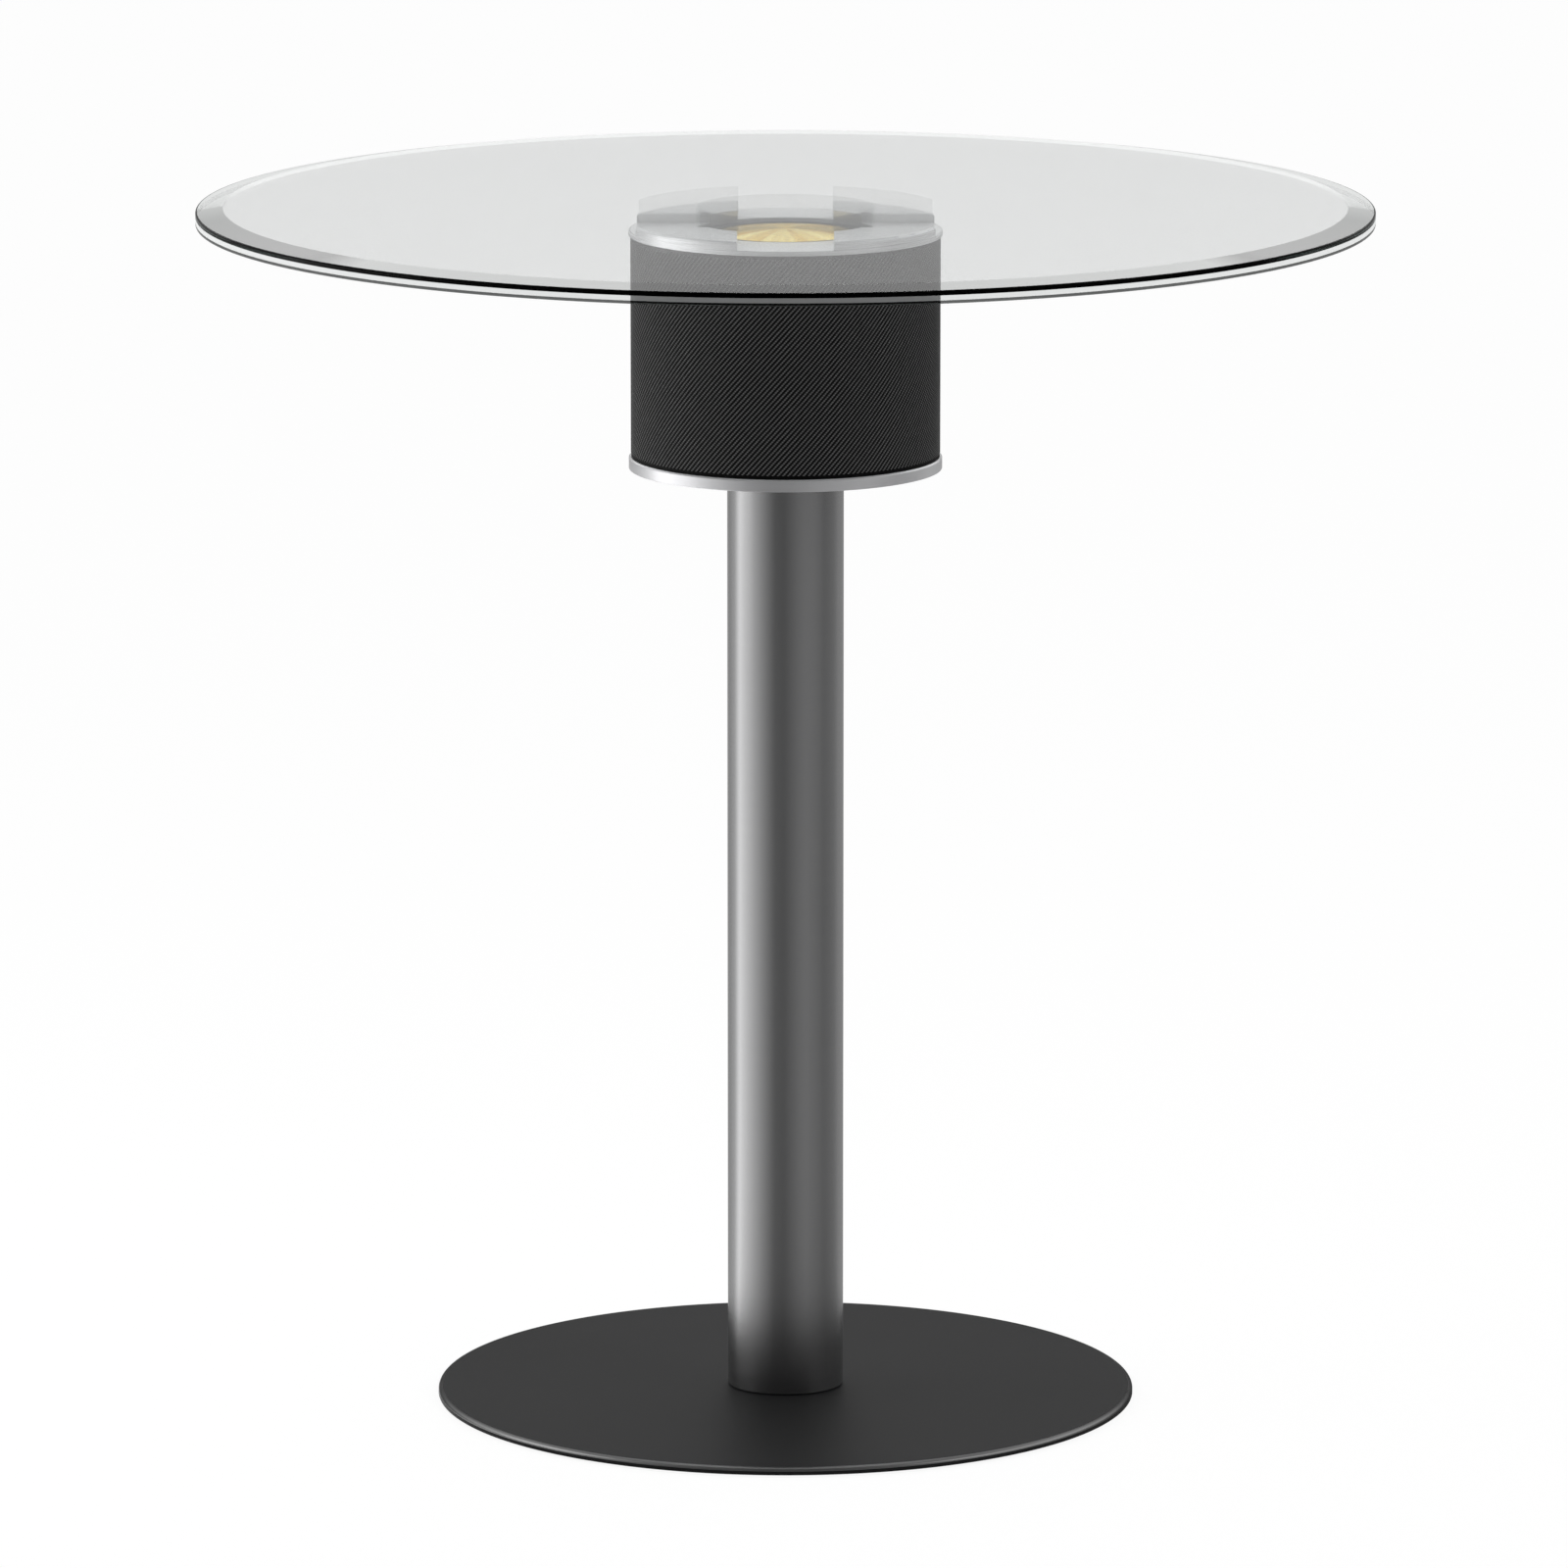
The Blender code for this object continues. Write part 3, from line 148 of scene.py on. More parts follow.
# %% A graph of nodes
class Graph:
    """A node tree, and the one method that adds nodes to it."""

    def __init__(self, tree):
        self.tree = tree

    def fill(self, made, sockets):
        """Links each Value, and writes each plain number or colour, into its socket."""
        for key, value in sockets.items():
            if isinstance(value, Value):
                self.tree.links.new(value.socket, made.inputs[key])
            else:
                made.inputs[key].default_value = value

    def node(self, kind, settings, sockets, output=0):
        """Adds a node: its settings or its ramp's stops first, then its sockets."""
        made = self.tree.nodes.new(kind)
        stops = settings.get("stops", ())
        for key, value in settings.items():
            if key != "stops":
                setattr(made, key, value)
        for index, (place, shade) in enumerate(stops):
            elements = made.color_ramp.elements
            element = elements[index] if index < 2 else elements.new(place)
            element.position = place
            element.color = (shade, shade, shade, 1.0)
        self.fill(made, sockets)
        return Value(self, made.outputs[output])

    def ramp(self, stops, value):
        """A ramp of greys: each stop is a place from 0 to 1 and the shade that it has there."""
        return self.node("ShaderNodeValToRGB", {"stops": stops}, {0: value})

    def axes(self, point):
        """The x, y and z of a point, as three values."""
        split = self.node("ShaderNodeSeparateXYZ", {}, {0: point})
        return [split.other(axis) for axis in "XYZ"]


print("graphs ready")

# %% [markdown]
# A Finish is the Graph of one material. It starts with a Principled shader, and its methods
# are the few patterns that all finishes here share: noise, dents and a blend of two colours.


# %% A finish
class Finish(Graph):
    """A material, with its Principled shader and the patterns that feed it."""

    def __init__(self, name, colour, roughness, metallic=0.0, **constants):
        self.material = bpy.data.materials.new(name)
        self.material.use_nodes = True
        super().__init__(self.material.node_tree)
        self.shader = self.tree.nodes["Principled BSDF"]
        self.set({"Base Color": (*colour, 1.0), "Roughness": roughness, "Metallic": metallic})
        self.set({key.replace("_", " "): value for key, value in constants.items()})

    def set(self, sockets):
        """Fills sockets of the Principled shader."""
        self.fill(self.shader, sockets)

    def show(self, shader):
        """Ends the material in another shader than the Principled one."""
        self.fill(self.tree.nodes["Material Output"], {"Surface": shader})

    def place(self):
        """The point on the piece in metres."""
        return self.node("ShaderNodeTexCoord", {}, {}, "Object")

    def met(self):
        """How squarely the eye meets the face: the cosine of the angle between the view and
        the face's axis, from 0 along the face to 1 straight down on it."""
        return 1 - self.node("ShaderNodeLayerWeight", {}, {"Blend": 0.5}, "Facing")

    def noise(self, point, scale, detail=3.0):
        """Soft noise from 0 to 1 with about scale lumps in a metre."""
        sockets = {"Vector": point, "Scale": scale, "Detail": detail}
        return self.node("ShaderNodeTexNoise", {}, sockets)

    def stretched(self, point, x, y, z):
        """The point with each axis multiplied, which draws a pattern out."""
        return self.node("ShaderNodeVectorMath", {"operation": "MULTIPLY"}, {0: point, 1: (x, y, z)})

    def bump(self, height, distance, strength=1.0):
        """Turns a height from 0 to 1 into dents that are distance metres deep."""
        sockets = {"Strength": strength, "Distance": distance, "Height": height}
        self.set({"Normal": self.node("ShaderNodeBump", {}, sockets)})

    def blend(self, share, first, second):
        """Mixes two colours by share, on the colour of the shader."""
        sockets = {0: share, 6: (*first, 1.0), 7: (*second, 1.0)}
        self.set({"Base Color": self.node("ShaderNodeMix", {"data_type": "RGBA"}, sockets, 2)})


print("finishes ready")

# %% [markdown]
# ## A plain studio
#
# The floor is a wide pale sheet. To the lens it is as bright as white paper, with just
# enough plain diffuse in it to keep the table's shadow. Metal and glass mirror something
# else, because a steel tube in an all white room would look flat. The mirrored floor is
# bright on the left, where a big window would be, and far dimmer behind the table, on the
# right and towards the camera. ROUND_THE_TABLE says so by bearing, in degrees from behind
# the table round by the left. That draws the tube's light band and its dark middle.

# %% Floor
FLOOR_HALF_SIDE = 14.0
floor_mesh = bpy.data.meshes.new("studio_floor")
corners = np.array([(-1, -1, 0), (1, -1, 0), (1, 1, 0), (-1, 1, 0)]) * FLOOR_HALF_SIDE
floor_mesh.from_pydata(corners.tolist(), [], [(0, 1, 2, 3)])
studio_floor = bpy.data.objects.new("studio_floor", floor_mesh)
bpy.context.scene.collection.objects.link(studio_floor)
print("floor:", 2 * FLOOR_HALF_SIDE, "m square")

# %% Paper on the floor
WHITE_SHARE = 0.86
WHITE = 1.05
MIRROR_STRENGTH = 4.0
ROUND_THE_TABLE = [
    (0, 0.09),
    (36, 0.14),
    (60, 0.34),
    (77, 0.91),
    (91, 0.71),
    (116, 0.44),
    (138, 0.24),
    (158, 0.09),
    (177, 0.07),
    (206, 0.15),
    (220, 0.17),
    (261, 0.09),
    (289, 0.12),
    (308, 0.17),
    (335, 0.10),
    (360, 0.09),
]
paper = Finish("floor paper", (0.84, 0.84, 0.84), 0.9, Specular_IOR_Level=0.0)
x, y, _ = paper.axes(paper.place())
bearing = x.maths("ARCTAN2", y * -1) * (1 / math.tau) + 0.5
stops = [(degrees / 360, share) for degrees, share in ROUND_THE_TABLE]
mirrored = paper.ramp(stops, bearing) * MIRROR_STRENGTH
rays = paper.node("ShaderNodeLightPath", {}, {})
glossy_ray = rays.other("Is Glossy Ray")
passed_ray = rays.other("Is Transmission Ray")
seen = rays.other("Is Camera Ray").maths("MAXIMUM", glossy_ray).maths("MAXIMUM", passed_ray)
mirror_ray = glossy_ray * (1 - passed_ray)
brightness = (1 - mirror_ray) + mirror_ray * mirrored
glow = paper.node("ShaderNodeEmission", {}, {"Color": brightness, "Strength": WHITE})
plain = Value(paper, paper.shader.outputs[0])
paper.show(paper.node("ShaderNodeMixShader", {}, {0: seen * WHITE_SHARE, 1: plain, 2: glow}))
floor_mesh.materials.append(paper.material)
print("bearings on the floor:", len(ROUND_THE_TABLE))

# %% [markdown]
# The sky is a soft grey at the horizon, where glass mirrors it at a flat angle. Above that
# it has a broad light band, which shows in the glass bevel, on the crown and on the dome,
# and it is dimmer again overhead. It darkens towards the camera's side, as the floor does.
# The lens itself sees it as plain white, so a low view has no horizon.

# %% Sky
SKY_STRENGTH = 2.0
BY_HEIGHT = [(0.17, 0.25), (0.30, 0.80), (0.52, 0.80), (0.80, 0.28)]
BY_DEPTH = [(0.10, 0.16), (0.62, 1.0)]
world = bpy.data.worlds.new("soft room")
bpy.context.scene.world = world
world.use_nodes = True
sky = Graph(world.node_tree)
x, y, z = sky.axes(sky.node("ShaderNodeTexCoord", {}, {}, "Generated"))
sky_light = sky.ramp(BY_HEIGHT, z) * sky.ramp(BY_DEPTH, y * 0.5 + 0.5)
room = sky.tree.nodes["Background"]
sky.fill(room, {"Color": sky_light, "Strength": SKY_STRENGTH})
backdrop = sky.node("ShaderNodeBackground", {}, {"Color": (1.0, 1.0, 1.0, 1.0)})
camera_ray = sky.node("ShaderNodeLightPath", {}, {}, "Is Camera Ray")
shown = sky.node("ShaderNodeMixShader", {}, {0: camera_ray, 1: Value(sky, room.outputs[0]), 2: backdrop})
sky.fill(sky.tree.nodes["World Output"], {"Surface": shown})
print("sky ready")

# %% [markdown]
# Three wide lamps fill in: a little more from the left than from the right, and one from
# above for the crown and the foot. Each row is a name, the lamp's place, the point that it
# looks at, its width and height in metres, and its power in watts.

# %% Lamps
LAMPS = {
    "wide_left": ((-1.6, -0.1, 1.0), (0.0, 0.0, 0.45), 1.2, 1.2, 5.5),
    "right_fill": ((1.9, -0.9, 1.2), (0.0, 0.0, 0.5), 1.2, 1.4, 4.0),
    "overhead": ((0.0, 0.5, 2.6), (0.0, 0.0, 0.4), 1.6, 1.6, 4.5),
}
for name, (spot, target, width, tall, power) in LAMPS.items():
    lamp_data = bpy.data.lights.new(name, "AREA")
    lamp_data.shape = "RECTANGLE"
    lamp_data.size = width
    lamp_data.size_y = tall
    lamp_data.energy = power
    lamp = bpy.data.objects.new(name, lamp_data)
    lamp.location = spot
    lamp.rotation_euler = (Vector(spot) - Vector(target)).to_track_quat("Z", "Y").to_euler()
    lamp.visible_camera = False
    bpy.context.scene.collection.objects.link(lamp)
print("lamps:", list(LAMPS))

# %% [markdown]
# ## Surfaces from arrays
#
# Almost every part of this table was turned on a lathe, so one function carries most of
# the work: it spins a profile round the axis. Real edges are never razor sharp, and the
# thin line of light on an edge is what makes metal look machined, so the profile's corners
# are rounded first. Both steps are whole-array sums.

# %% Rounded corners
ARC_STEPS = 4
HOLD = 0.0001


def rounded(corners, radii, steps=ARC_STEPS, hold=HOLD):
    """Each corner P becomes an arc that touches both its sides. With unit vectors u and v
    towards the neighbours and half the angle between them h, the arc starts at
    P + u r / tan h, and its centre lies at P + (u + v) / |u + v| * r / sin h. One more
    point, hold past each end of the arc, keeps the shading of the flat sides flat."""
    corners = np.asarray(corners, float)
    radii = np.broadcast_to(np.asarray(radii, float), len(corners))[:, None]
    before = np.roll(corners, 1, axis=0) - corners
    after = np.roll(corners, -1, axis=0) - corners
    u = before / np.linalg.norm(before, axis=1, keepdims=True)
    v = after / np.linalg.norm(after, axis=1, keepdims=True)
    half = np.arccos(np.clip((u * v).sum(1, keepdims=True), -1, 1)) / 2
    middle = (u + v) / np.linalg.norm(u + v, axis=1, keepdims=True)
    centre = corners + middle * radii / np.sin(half)
    first = corners + u * radii / np.tan(half) - centre
    last = corners + v * radii / np.tan(half) - centre
    sweep = math.pi - 2 * half
    share = np.linspace(0, 1, steps + 1)[None, :, None]
    from_first = np.sin((1 - share) * sweep[:, None]) / np.sin(sweep[:, None])
    from_last = np.sin(share * sweep[:, None]) / np.sin(sweep[:, None])
    arcs = centre[:, None] + from_first * first[:, None] + from_last * last[:, None]
    holds = np.where(radii > 0, hold, 0)
    entry = (centre + first + u * holds)[:, None]
    leave = (centre + last + v * holds)[:, None]
    return np.concatenate((entry, arcs, leave), 1).reshape(-1, 2)


print("a rounded square has", len(rounded([(0, 0), (1, 0), (1, 1), (0, 1)], 0.1)), "points")

# %% [markdown]
# A grid of points becomes a mesh by joining each point to its neighbours. Points that fall
# on the same spot, as at a pole or an unrounded corner, are merged, and the faces are
# turned outwards afterwards.

# %% Putting a grid into a mesh
SHARP_ANGLE = math.radians(40)
MERGE = 1e-7


def grid_faces(rows, columns, wrap_rows, wrap_columns):
    """Quads between neighbours of a grid, whose last row or column may meet the first."""
    r = np.arange(rows if wrap_rows else rows - 1)[:, None]
    c = np.arange(columns if wrap_columns else columns - 1)[None, :]
    r_next = (r + 1) % rows
    c_next = (c + 1) % columns
    quads = [r * columns + c, r_next * columns + c, r_next * columns + c_next, r * columns + c_next]
    return np.stack(np.broadcast_arrays(*quads), -1).reshape(-1, 4)


def piece(name, points, faces, finish, body="root"):
    """Makes a mesh object from arrays, merges what lies on the same spot, turns its faces
    outwards and lets it ride on a body. With no body it is left loose."""
    mesh = bpy.data.meshes.new(name)
    mesh.from_pydata(np.asarray(points).reshape(-1, 3).tolist(), [], [list(face) for face in faces])
    bm = bmesh.new()
    bm.from_mesh(mesh)
    bmesh.ops.remove_doubles(bm, verts=bm.verts[:], dist=MERGE)
    bmesh.ops.dissolve_degenerate(bm, edges=bm.edges[:], dist=MERGE)
    bmesh.ops.recalc_face_normals(bm, faces=bm.faces[:])
    bm.to_mesh(mesh)
    bm.free()
    mesh.shade_smooth()
    mesh.set_sharp_from_angle(angle=SHARP_ANGLE)
    mesh.materials.append(finish.material)
    made = bpy.data.objects.new(name, mesh)
    bpy.context.scene.collection.objects.link(made)
    if body is not None:
        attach(made, body)
    return made


print("a 3 by 4 grid has", len(grid_faces(3, 4, False, False)), "faces")


# %% Turning a profile
def polar(radius, turn, height):
    """Points at a radius r, an angle a and a height h: x = r cos a, y = r sin a, z = h."""
    x = radius * np.cos(turn)
    y = radius * np.sin(turn)
    return np.stack((x, y, np.broadcast_to(height, x.shape)), -1)


def turned(name, profile, steps, finish, body="root", ring=True, centre=(0, 0)):
    """A profile of (radius, height) spun about an upright axis through the centre. A ring's
    profile closes on itself, and a disc's starts and ends on the axis."""
    profile = np.asarray(profile, float)
    turn = np.linspace(0, math.tau, steps, endpoint=False)[:, None]
    points = polar(profile[:, 0], turn, profile[:, 1]) + (centre[0], centre[1], 0)
    return piece(name, points, grid_faces(steps, len(profile), True, ring), finish, body)


def dress_faces(made, finishes, choose):
    """Adds finishes to a piece. From the radius and height of each face's middle, choose
    says which one it wears, where 0 is the finish that the piece was made with."""
    for finish in finishes:
        made.data.materials.append(finish.material)
    faces = made.data.polygons
    middles = np.empty(3 * len(faces), np.float32)
    faces.foreach_get("center", middles)
    x, y, z = middles.astype(float).reshape(-1, 3).T
    faces.foreach_set("material_index", choose(np.hypot(x, y), z).astype(np.int32))


print("a quarter turn at radius 1 ends at", polar(1.0, math.pi / 2, 0.0).round(3))

# %% [markdown]
# ## Coated and moulded finishes
#
# Powder coat, rubber and moulded plastic are dull skins with a fine texture. Each gets a
# noise at the size of its real grain, which dents the surface by a few hundredths of a
# millimetre and shifts the gloss a little with it. A slower noise keeps large faces alive.
# On the foot's thin rim the coat is burnished to a dark metal, which carries a grey line
# of light and goes dark where the rim turns away.

# %% Powder coat and burnished rim
coat = Finish("charcoal powder coat", (0.04, 0.04, 0.04), 0.5, Specular_IOR_Level=0.03)
point = coat.place()
peel = coat.noise(point, 1100)
cloud = coat.noise(point, 5)
coat.blend(cloud * 0.7 + peel * 0.3, (0.016, 0.016, 0.017), (0.022, 0.022, 0.022))
coat.set({"Roughness": peel * 0.10 + cloud * 0.05 + 0.44})
coat.bump(peel, 0.00003, 0.6)

DARK_AT_GRAZING = (0.2, 0.2, 0.2, 1.0)
burnished = Finish("burnished rim", (0.19, 0.19, 0.19), 0.3, 1.0, Specular_Tint=DARK_AT_GRAZING)
wear = burnished.noise(burnished.place(), 90)
burnished.blend(wear, (0.180, 0.180, 0.181), (0.205, 0.205, 0.205))
burnished.set({"Roughness": wear * 0.10 + 0.24})
print(coat.material.name, len(coat.tree.nodes), "nodes")


# %% Rubber, mouldings and boards
def grained(name, dark, light, roughness, scale, depth):
    """A dull finish whose grain carries its colour, gloss and dents together."""
    made = Finish(name, dark, roughness)
    point = made.place()
    grain = made.noise(point, scale)
    made.blend(grain * 0.5 + made.noise(point, scale / 60) * 0.5, dark, light)
    made.set({"Roughness": grain * 0.16 + (roughness - 0.08)})
    made.bump(grain, depth, 0.5)
    return made


rubber = grained("black rubber", (0.020, 0.020, 0.020), (0.036, 0.036, 0.036), 0.78, 1800, 0.00005)
moulding = grained("black moulding", (0.018, 0.018, 0.019), (0.030, 0.030, 0.031), 0.52, 2200, 0.00003)
ferrite = grained("ferrite", (0.050, 0.050, 0.052), (0.110, 0.110, 0.112), 0.62, 1500, 0.00004)
white_mask = grained("white solder mask", (0.74, 0.74, 0.72), (0.84, 0.84, 0.82), 0.42, 1200, 0.00001)
print("grained:", [made.material.name for made in (rubber, moulding, ferrite, white_mask)])

# %% [markdown]
# ## Finishes inside the drum
#
# These parts are hidden while the table stands, and show when someone takes it apart. A
# board's tracks are two crossed waves, clipped to flat lines. Shrunk wrap has long
# creases, a coil shows its wire as rings, and treated cloth is a weave of two waves. Zinc
# plate on the screws and the rod is a mosaic of small crystals.

# %% Circuit board
board = Finish("green solder mask", (0.02, 0.16, 0.07), 0.38)
x, y, _ = board.axes(board.place())
tracks = (x * 1400).maths("SINE") * (y * 1900 + (x * 240).maths("SINE") * 3).maths("SINE")
track = (tracks * 6 + 0.4).clipped()
board.blend(track, (0.014, 0.120, 0.050), (0.030, 0.220, 0.100))
board.bump(track, 0.00004, 0.5)
print(board.material.name, len(board.tree.nodes), "nodes")

# %% Heat-shrunk cell wrap, wound coil and treated cloth
wrap = Finish("blue cell wrap", (0.05, 0.14, 0.36), 0.32, Coat_Weight=0.3)
crease = wrap.noise(wrap.stretched(wrap.place(), 500, 500, 60), 1)
wrap.blend(crease, (0.045, 0.120, 0.330), (0.070, 0.180, 0.430))
wrap.bump(crease, 0.00012, 0.5)

WIRE = 0.0004
coil = Finish("wound coil", (0.45, 0.26, 0.12), 0.36, 0.6)
*_, z = coil.axes(coil.place())
winding = (z * math.tau / WIRE).maths("SINE") * 0.5 + 0.5
coil.blend(winding, (0.25, 0.13, 0.06), (0.62, 0.37, 0.18))
coil.bump(winding, 0.00008)

THREAD = 0.0009
cloth = Finish("treated cloth", (0.46, 0.32, 0.14), 0.85)
x, y, _ = cloth.axes(cloth.place())
weft = (x * math.tau / THREAD).maths("SINE")
warp = (y * math.tau / THREAD).maths("SINE")
weave = weft * warp * 0.5 + 0.5
cloth.blend(weave, (0.34, 0.22, 0.09), (0.56, 0.41, 0.19))
cloth.bump(weave, 0.00010)
print("inside:", [made.material.name for made in (wrap, coil, cloth)])

# %% Zinc plate on the hidden steel
zinc = Finish("zinc plate", (0.62, 0.62, 0.60), 0.34, 1.0)
point = zinc.place()
spangle = zinc.node("ShaderNodeTexVoronoi", {}, {"Vector": point, "Scale": 420})
zinc.blend(spangle.maths("MINIMUM", 1), (0.55, 0.56, 0.57), (0.70, 0.69, 0.64))
zinc.set({"Roughness": zinc.noise(point, 260) * 0.16 + 0.26})
print(zinc.material.name, len(zinc.tree.nodes), "nodes")

# %% [markdown]
# ## Turned and brushed metal
#
# A lathe or a brushing belt leaves hair-fine grooves that run round the axis. They spread
# every reflection across themselves, so lights become soft vertical bands on the column.
# Dents alone can't do that, because most grooves are finer than a pixel. So a constant
# anisotropy gives the spread, and a noise that is drawn out round the axis gives the
# grooves that can be seen.


# %% Grooves round the axis
def brushed(
    name, dark, light, roughness, metallic, spread, pitch, depth, strength=0.5, faces=True, **constants
):
    """Metal with grooves round the axis, a pitch apart. On a tube they are stacked in
    height. With faces they are rings too, so the radius is added to the height."""
    constants = {"Anisotropic": spread, "Anisotropic_Rotation": 0.25, **constants}
    made = Finish(name, dark, roughness, metallic, **constants)
    point = made.place()
    x, y, z = made.axes(point)
    across = (x * x + y * y) ** 0.5 + z if faces else z
    lane = made.node("ShaderNodeCombineXYZ", {}, {0: x * 22, 1: y * 22, 2: across * (1 / pitch)})
    groove = made.noise(lane, 1, 2.0)
    cloud = made.noise(point, 14)
    made.blend(groove * 0.6 + cloud * 0.4, dark, light)
    made.set({"Roughness": groove * 0.10 + cloud * 0.06 + (roughness - 0.08)})
    made.bump(groove, depth, strength)
    return made


TUBE = {"spread": 0.65, "pitch": 0.00045, "depth": 0.000002, "strength": 0.12, "faces": False}
steel_tube = brushed("dark brushed steel", (0.19, 0.19, 0.192), (0.24, 0.24, 0.242), 0.23, 0.92, **TUBE)
print(steel_tube.material.name, len(steel_tube.tree.nodes), "nodes")

# %% [markdown]
# Anodised aluminium wears a thin pale skin, so only about half of it counts as metal, and
# it keeps its light colour where it mirrors something dark. The crown's milled slots and
# pads are painted lighter than the rest: a painted highlight for the light they catch. The
# ring at the drum's foot is the same metal painted darker: a painted shade for the drum's
# shadow over it.

# %% Aluminium
LATHE = {"spread": 0.5, "pitch": 0.00035, "depth": 0.000002}
aluminium = brushed("satin aluminium", (0.62, 0.62, 0.63), (0.71, 0.71, 0.72), 0.28, 0.45, **LATHE)
# The milled faces are painted lighter: a painted highlight.
milled_and_lit = brushed("milled aluminium", (0.77, 0.77, 0.78), (0.88, 0.88, 0.89), 0.30, 0.35, **LATHE)
# The drum's ring is painted darker: a painted shade under the drum.
painted_shade = brushed("shaded aluminium", (0.47, 0.47, 0.48), (0.56, 0.56, 0.57), 0.32, 0.65, **LATHE)
print("aluminium:", [made.material.name for made in (aluminium, milled_and_lit, painted_shade)])

# %% [markdown]
# The dome is spun gold, and the rays of light that fan out from its middle are painted into
# its colour: the light rays are a painted highlight and the dark ones painted shade. They are
# a noise that is read on the unit circle, x / r and y / r, so its value is the same all the
# way along a ray.

# %% Spun gold
SPUN = {"spread": 0.95, "pitch": 0.00030, "depth": 0.000004}
WARM_AT_GRAZING = (1.0, 0.82, 0.46, 1.0)
gold = brushed(
    "spun gold", (0.88, 0.58, 0.12), (1.00, 0.74, 0.22), 0.20, 1.0, Specular_Tint=WARM_AT_GRAZING, **SPUN
)
x, y, _ = gold.axes(gold.place())
off_axis = (x * x + y * y) ** 0.5 + 0.0005
circle = gold.node("ShaderNodeCombineXYZ", {}, {0: x / off_axis, 1: y / off_axis, 2: 0.0})
# Painted highlight and shade: rays from deep gold to near white.
ray = (gold.noise(circle, 3.6, 4.0) * 4.4 - 1.7).clipped()
gold.blend(ray, (0.74, 0.50, 0.10), (1.00, 0.95, 0.56))
print(gold.material.name, len(gold.tree.nodes), "nodes")

# %% [markdown]
# ## Clear glass
#
# Glass is a Principled shader with full transmission and faint wiping marks in its gloss.
# Rays on their way to a lamp pass straight through, tinted a little, so that the table top
# doesn't throw the black shadow that bent rays alone would leave. Seen this flat, plain
# glass would mirror more than the photograph's does, so its mirror share can be calmed.
# A bevel bends the view far away, yet in the photograph the drum still shows through it, so
# the bevel also lets a share of the view pass unbent, and it is tinted grey: painted shade
# for its darker band. The rim is tinted nearly black above a fine ground seam, and a paler
# grey below it: painted shade for the dark lines along the edge. The seam is pale ground
# glass, and its paleness is also a painted highlight for the rim's white line.

# %% Clear glass
GLASS_INDEX = 1.5
WIPED = 0.004
SHADOW_TINT = (0.985, 0.990, 0.988, 1.0)
OPEN_TINT = (0.95, 0.96, 0.955, 1.0)


def calmed(made, plain, tint, calm):
    """Mixes clear refraction into plain glass. Its mirror share becomes F to the power
    1 + calm, where F is the plain share. Where light is trapped inside, F is 1 and stays."""
    mirror_share = made.node("ShaderNodeFresnel", {}, {"IOR": GLASS_INDEX})
    sockets = {"Color": (*tint, 1.0), "Roughness": 0.0, "IOR": GLASS_INDEX}
    bent = made.node("ShaderNodeBsdfRefraction", {}, sockets)
    return made.node("ShaderNodeMixShader", {}, {0: mirror_share**calm, 1: bent, 2: plain})


def clear(name, tint, calm=0.0, opening=()):
    """Glass that bends rays for the eye and lets lamp light straight through. The opening
    is a ramp from how squarely the eye meets the face to the share that passes unbent. A
    ray that passed unbent also leaves unbent, through the face behind."""
    made = Finish(name, tint, 0.0, Transmission_Weight=1.0, IOR=GLASS_INDEX)
    point = made.place()
    wipe = made.noise(made.stretched(point, 6, 30, 30), 1, 2.0)
    made.set({"Roughness": wipe * WIPED})
    made.blend(made.noise(point, 3), tint, tuple(min(1.0, part + 0.01) for part in tint))
    whole = Value(made, made.shader.outputs[0])
    if calm > 0:
        whole = calmed(made, whole, tint, calm)
    unbent = made.node("ShaderNodeNewGeometry", {}, {}, "Backfacing")
    if opening:
        unbent = unbent.maths("MAXIMUM", made.ramp(opening, made.met()))
    rays = made.node("ShaderNodeLightPath", {}, {})
    unbent = rays.other("Is Camera Ray") * unbent
    opened = made.node("ShaderNodeBsdfTransparent", {}, {"Color": OPEN_TINT})
    whole = made.node("ShaderNodeMixShader", {}, {0: unbent, 1: whole, 2: opened})
    through = made.node("ShaderNodeBsdfTransparent", {}, {"Color": SHADOW_TINT})
    shadow_ray = rays.other("Is Shadow Ray")
    made.show(made.node("ShaderNodeMixShader", {}, {0: shadow_ray, 1: whole, 2: through}))
    return made


print("glass helper ready")

# %% The table glass, zone by zone
BEVEL_OPENING = [(0.130, 0.50), (0.230, 0.0), (0.242, 0.48)]
LOW_RIM_OPENING = [(0.0, 0.13), (1.0, 0.13)]
face_glass = clear("clear table glass", (0.972, 0.980, 0.978), 0.66)
# The bevel is tinted grey: painted shade for its darker band.
bevel_glass = clear("clear bevel glass", (0.72, 0.73, 0.725), opening=BEVEL_OPENING)
# Nearly black rim glass: painted shade for the dark line along the rim.
rim_glass = clear("rim glass painted dark", (0.06, 0.08, 0.075), 1.0)
# Grey lower rim glass: painted shade.
low_rim_glass = clear("lower rim glass", (0.40, 0.42, 0.415), 1.0, LOW_RIM_OPENING)

# The seam's pale ground glass also stands as a painted highlight along the rim.
ground_and_glint = Finish("ground glass", (0.80, 0.82, 0.82), 0.55, Alpha=0.35)
grit = ground_and_glint.noise(ground_and_glint.place(), 2500)
ground_and_glint.blend(grit, (0.66, 0.68, 0.68), (0.80, 0.82, 0.82))
ground_and_glint.set({"Roughness": grit * 0.2 + 0.45})
outer_zones = [bevel_glass, rim_glass, ground_and_glint, low_rim_glass]
print("glass:", [made.material.name for made in (face_glass, *outer_zones)])

# %% [markdown]
# The clear blocks are seen edge on with more blocks behind them, so they are thinned out by
# alpha instead: a bent view through four of them would hide the crown and the dome that
# they stand round.

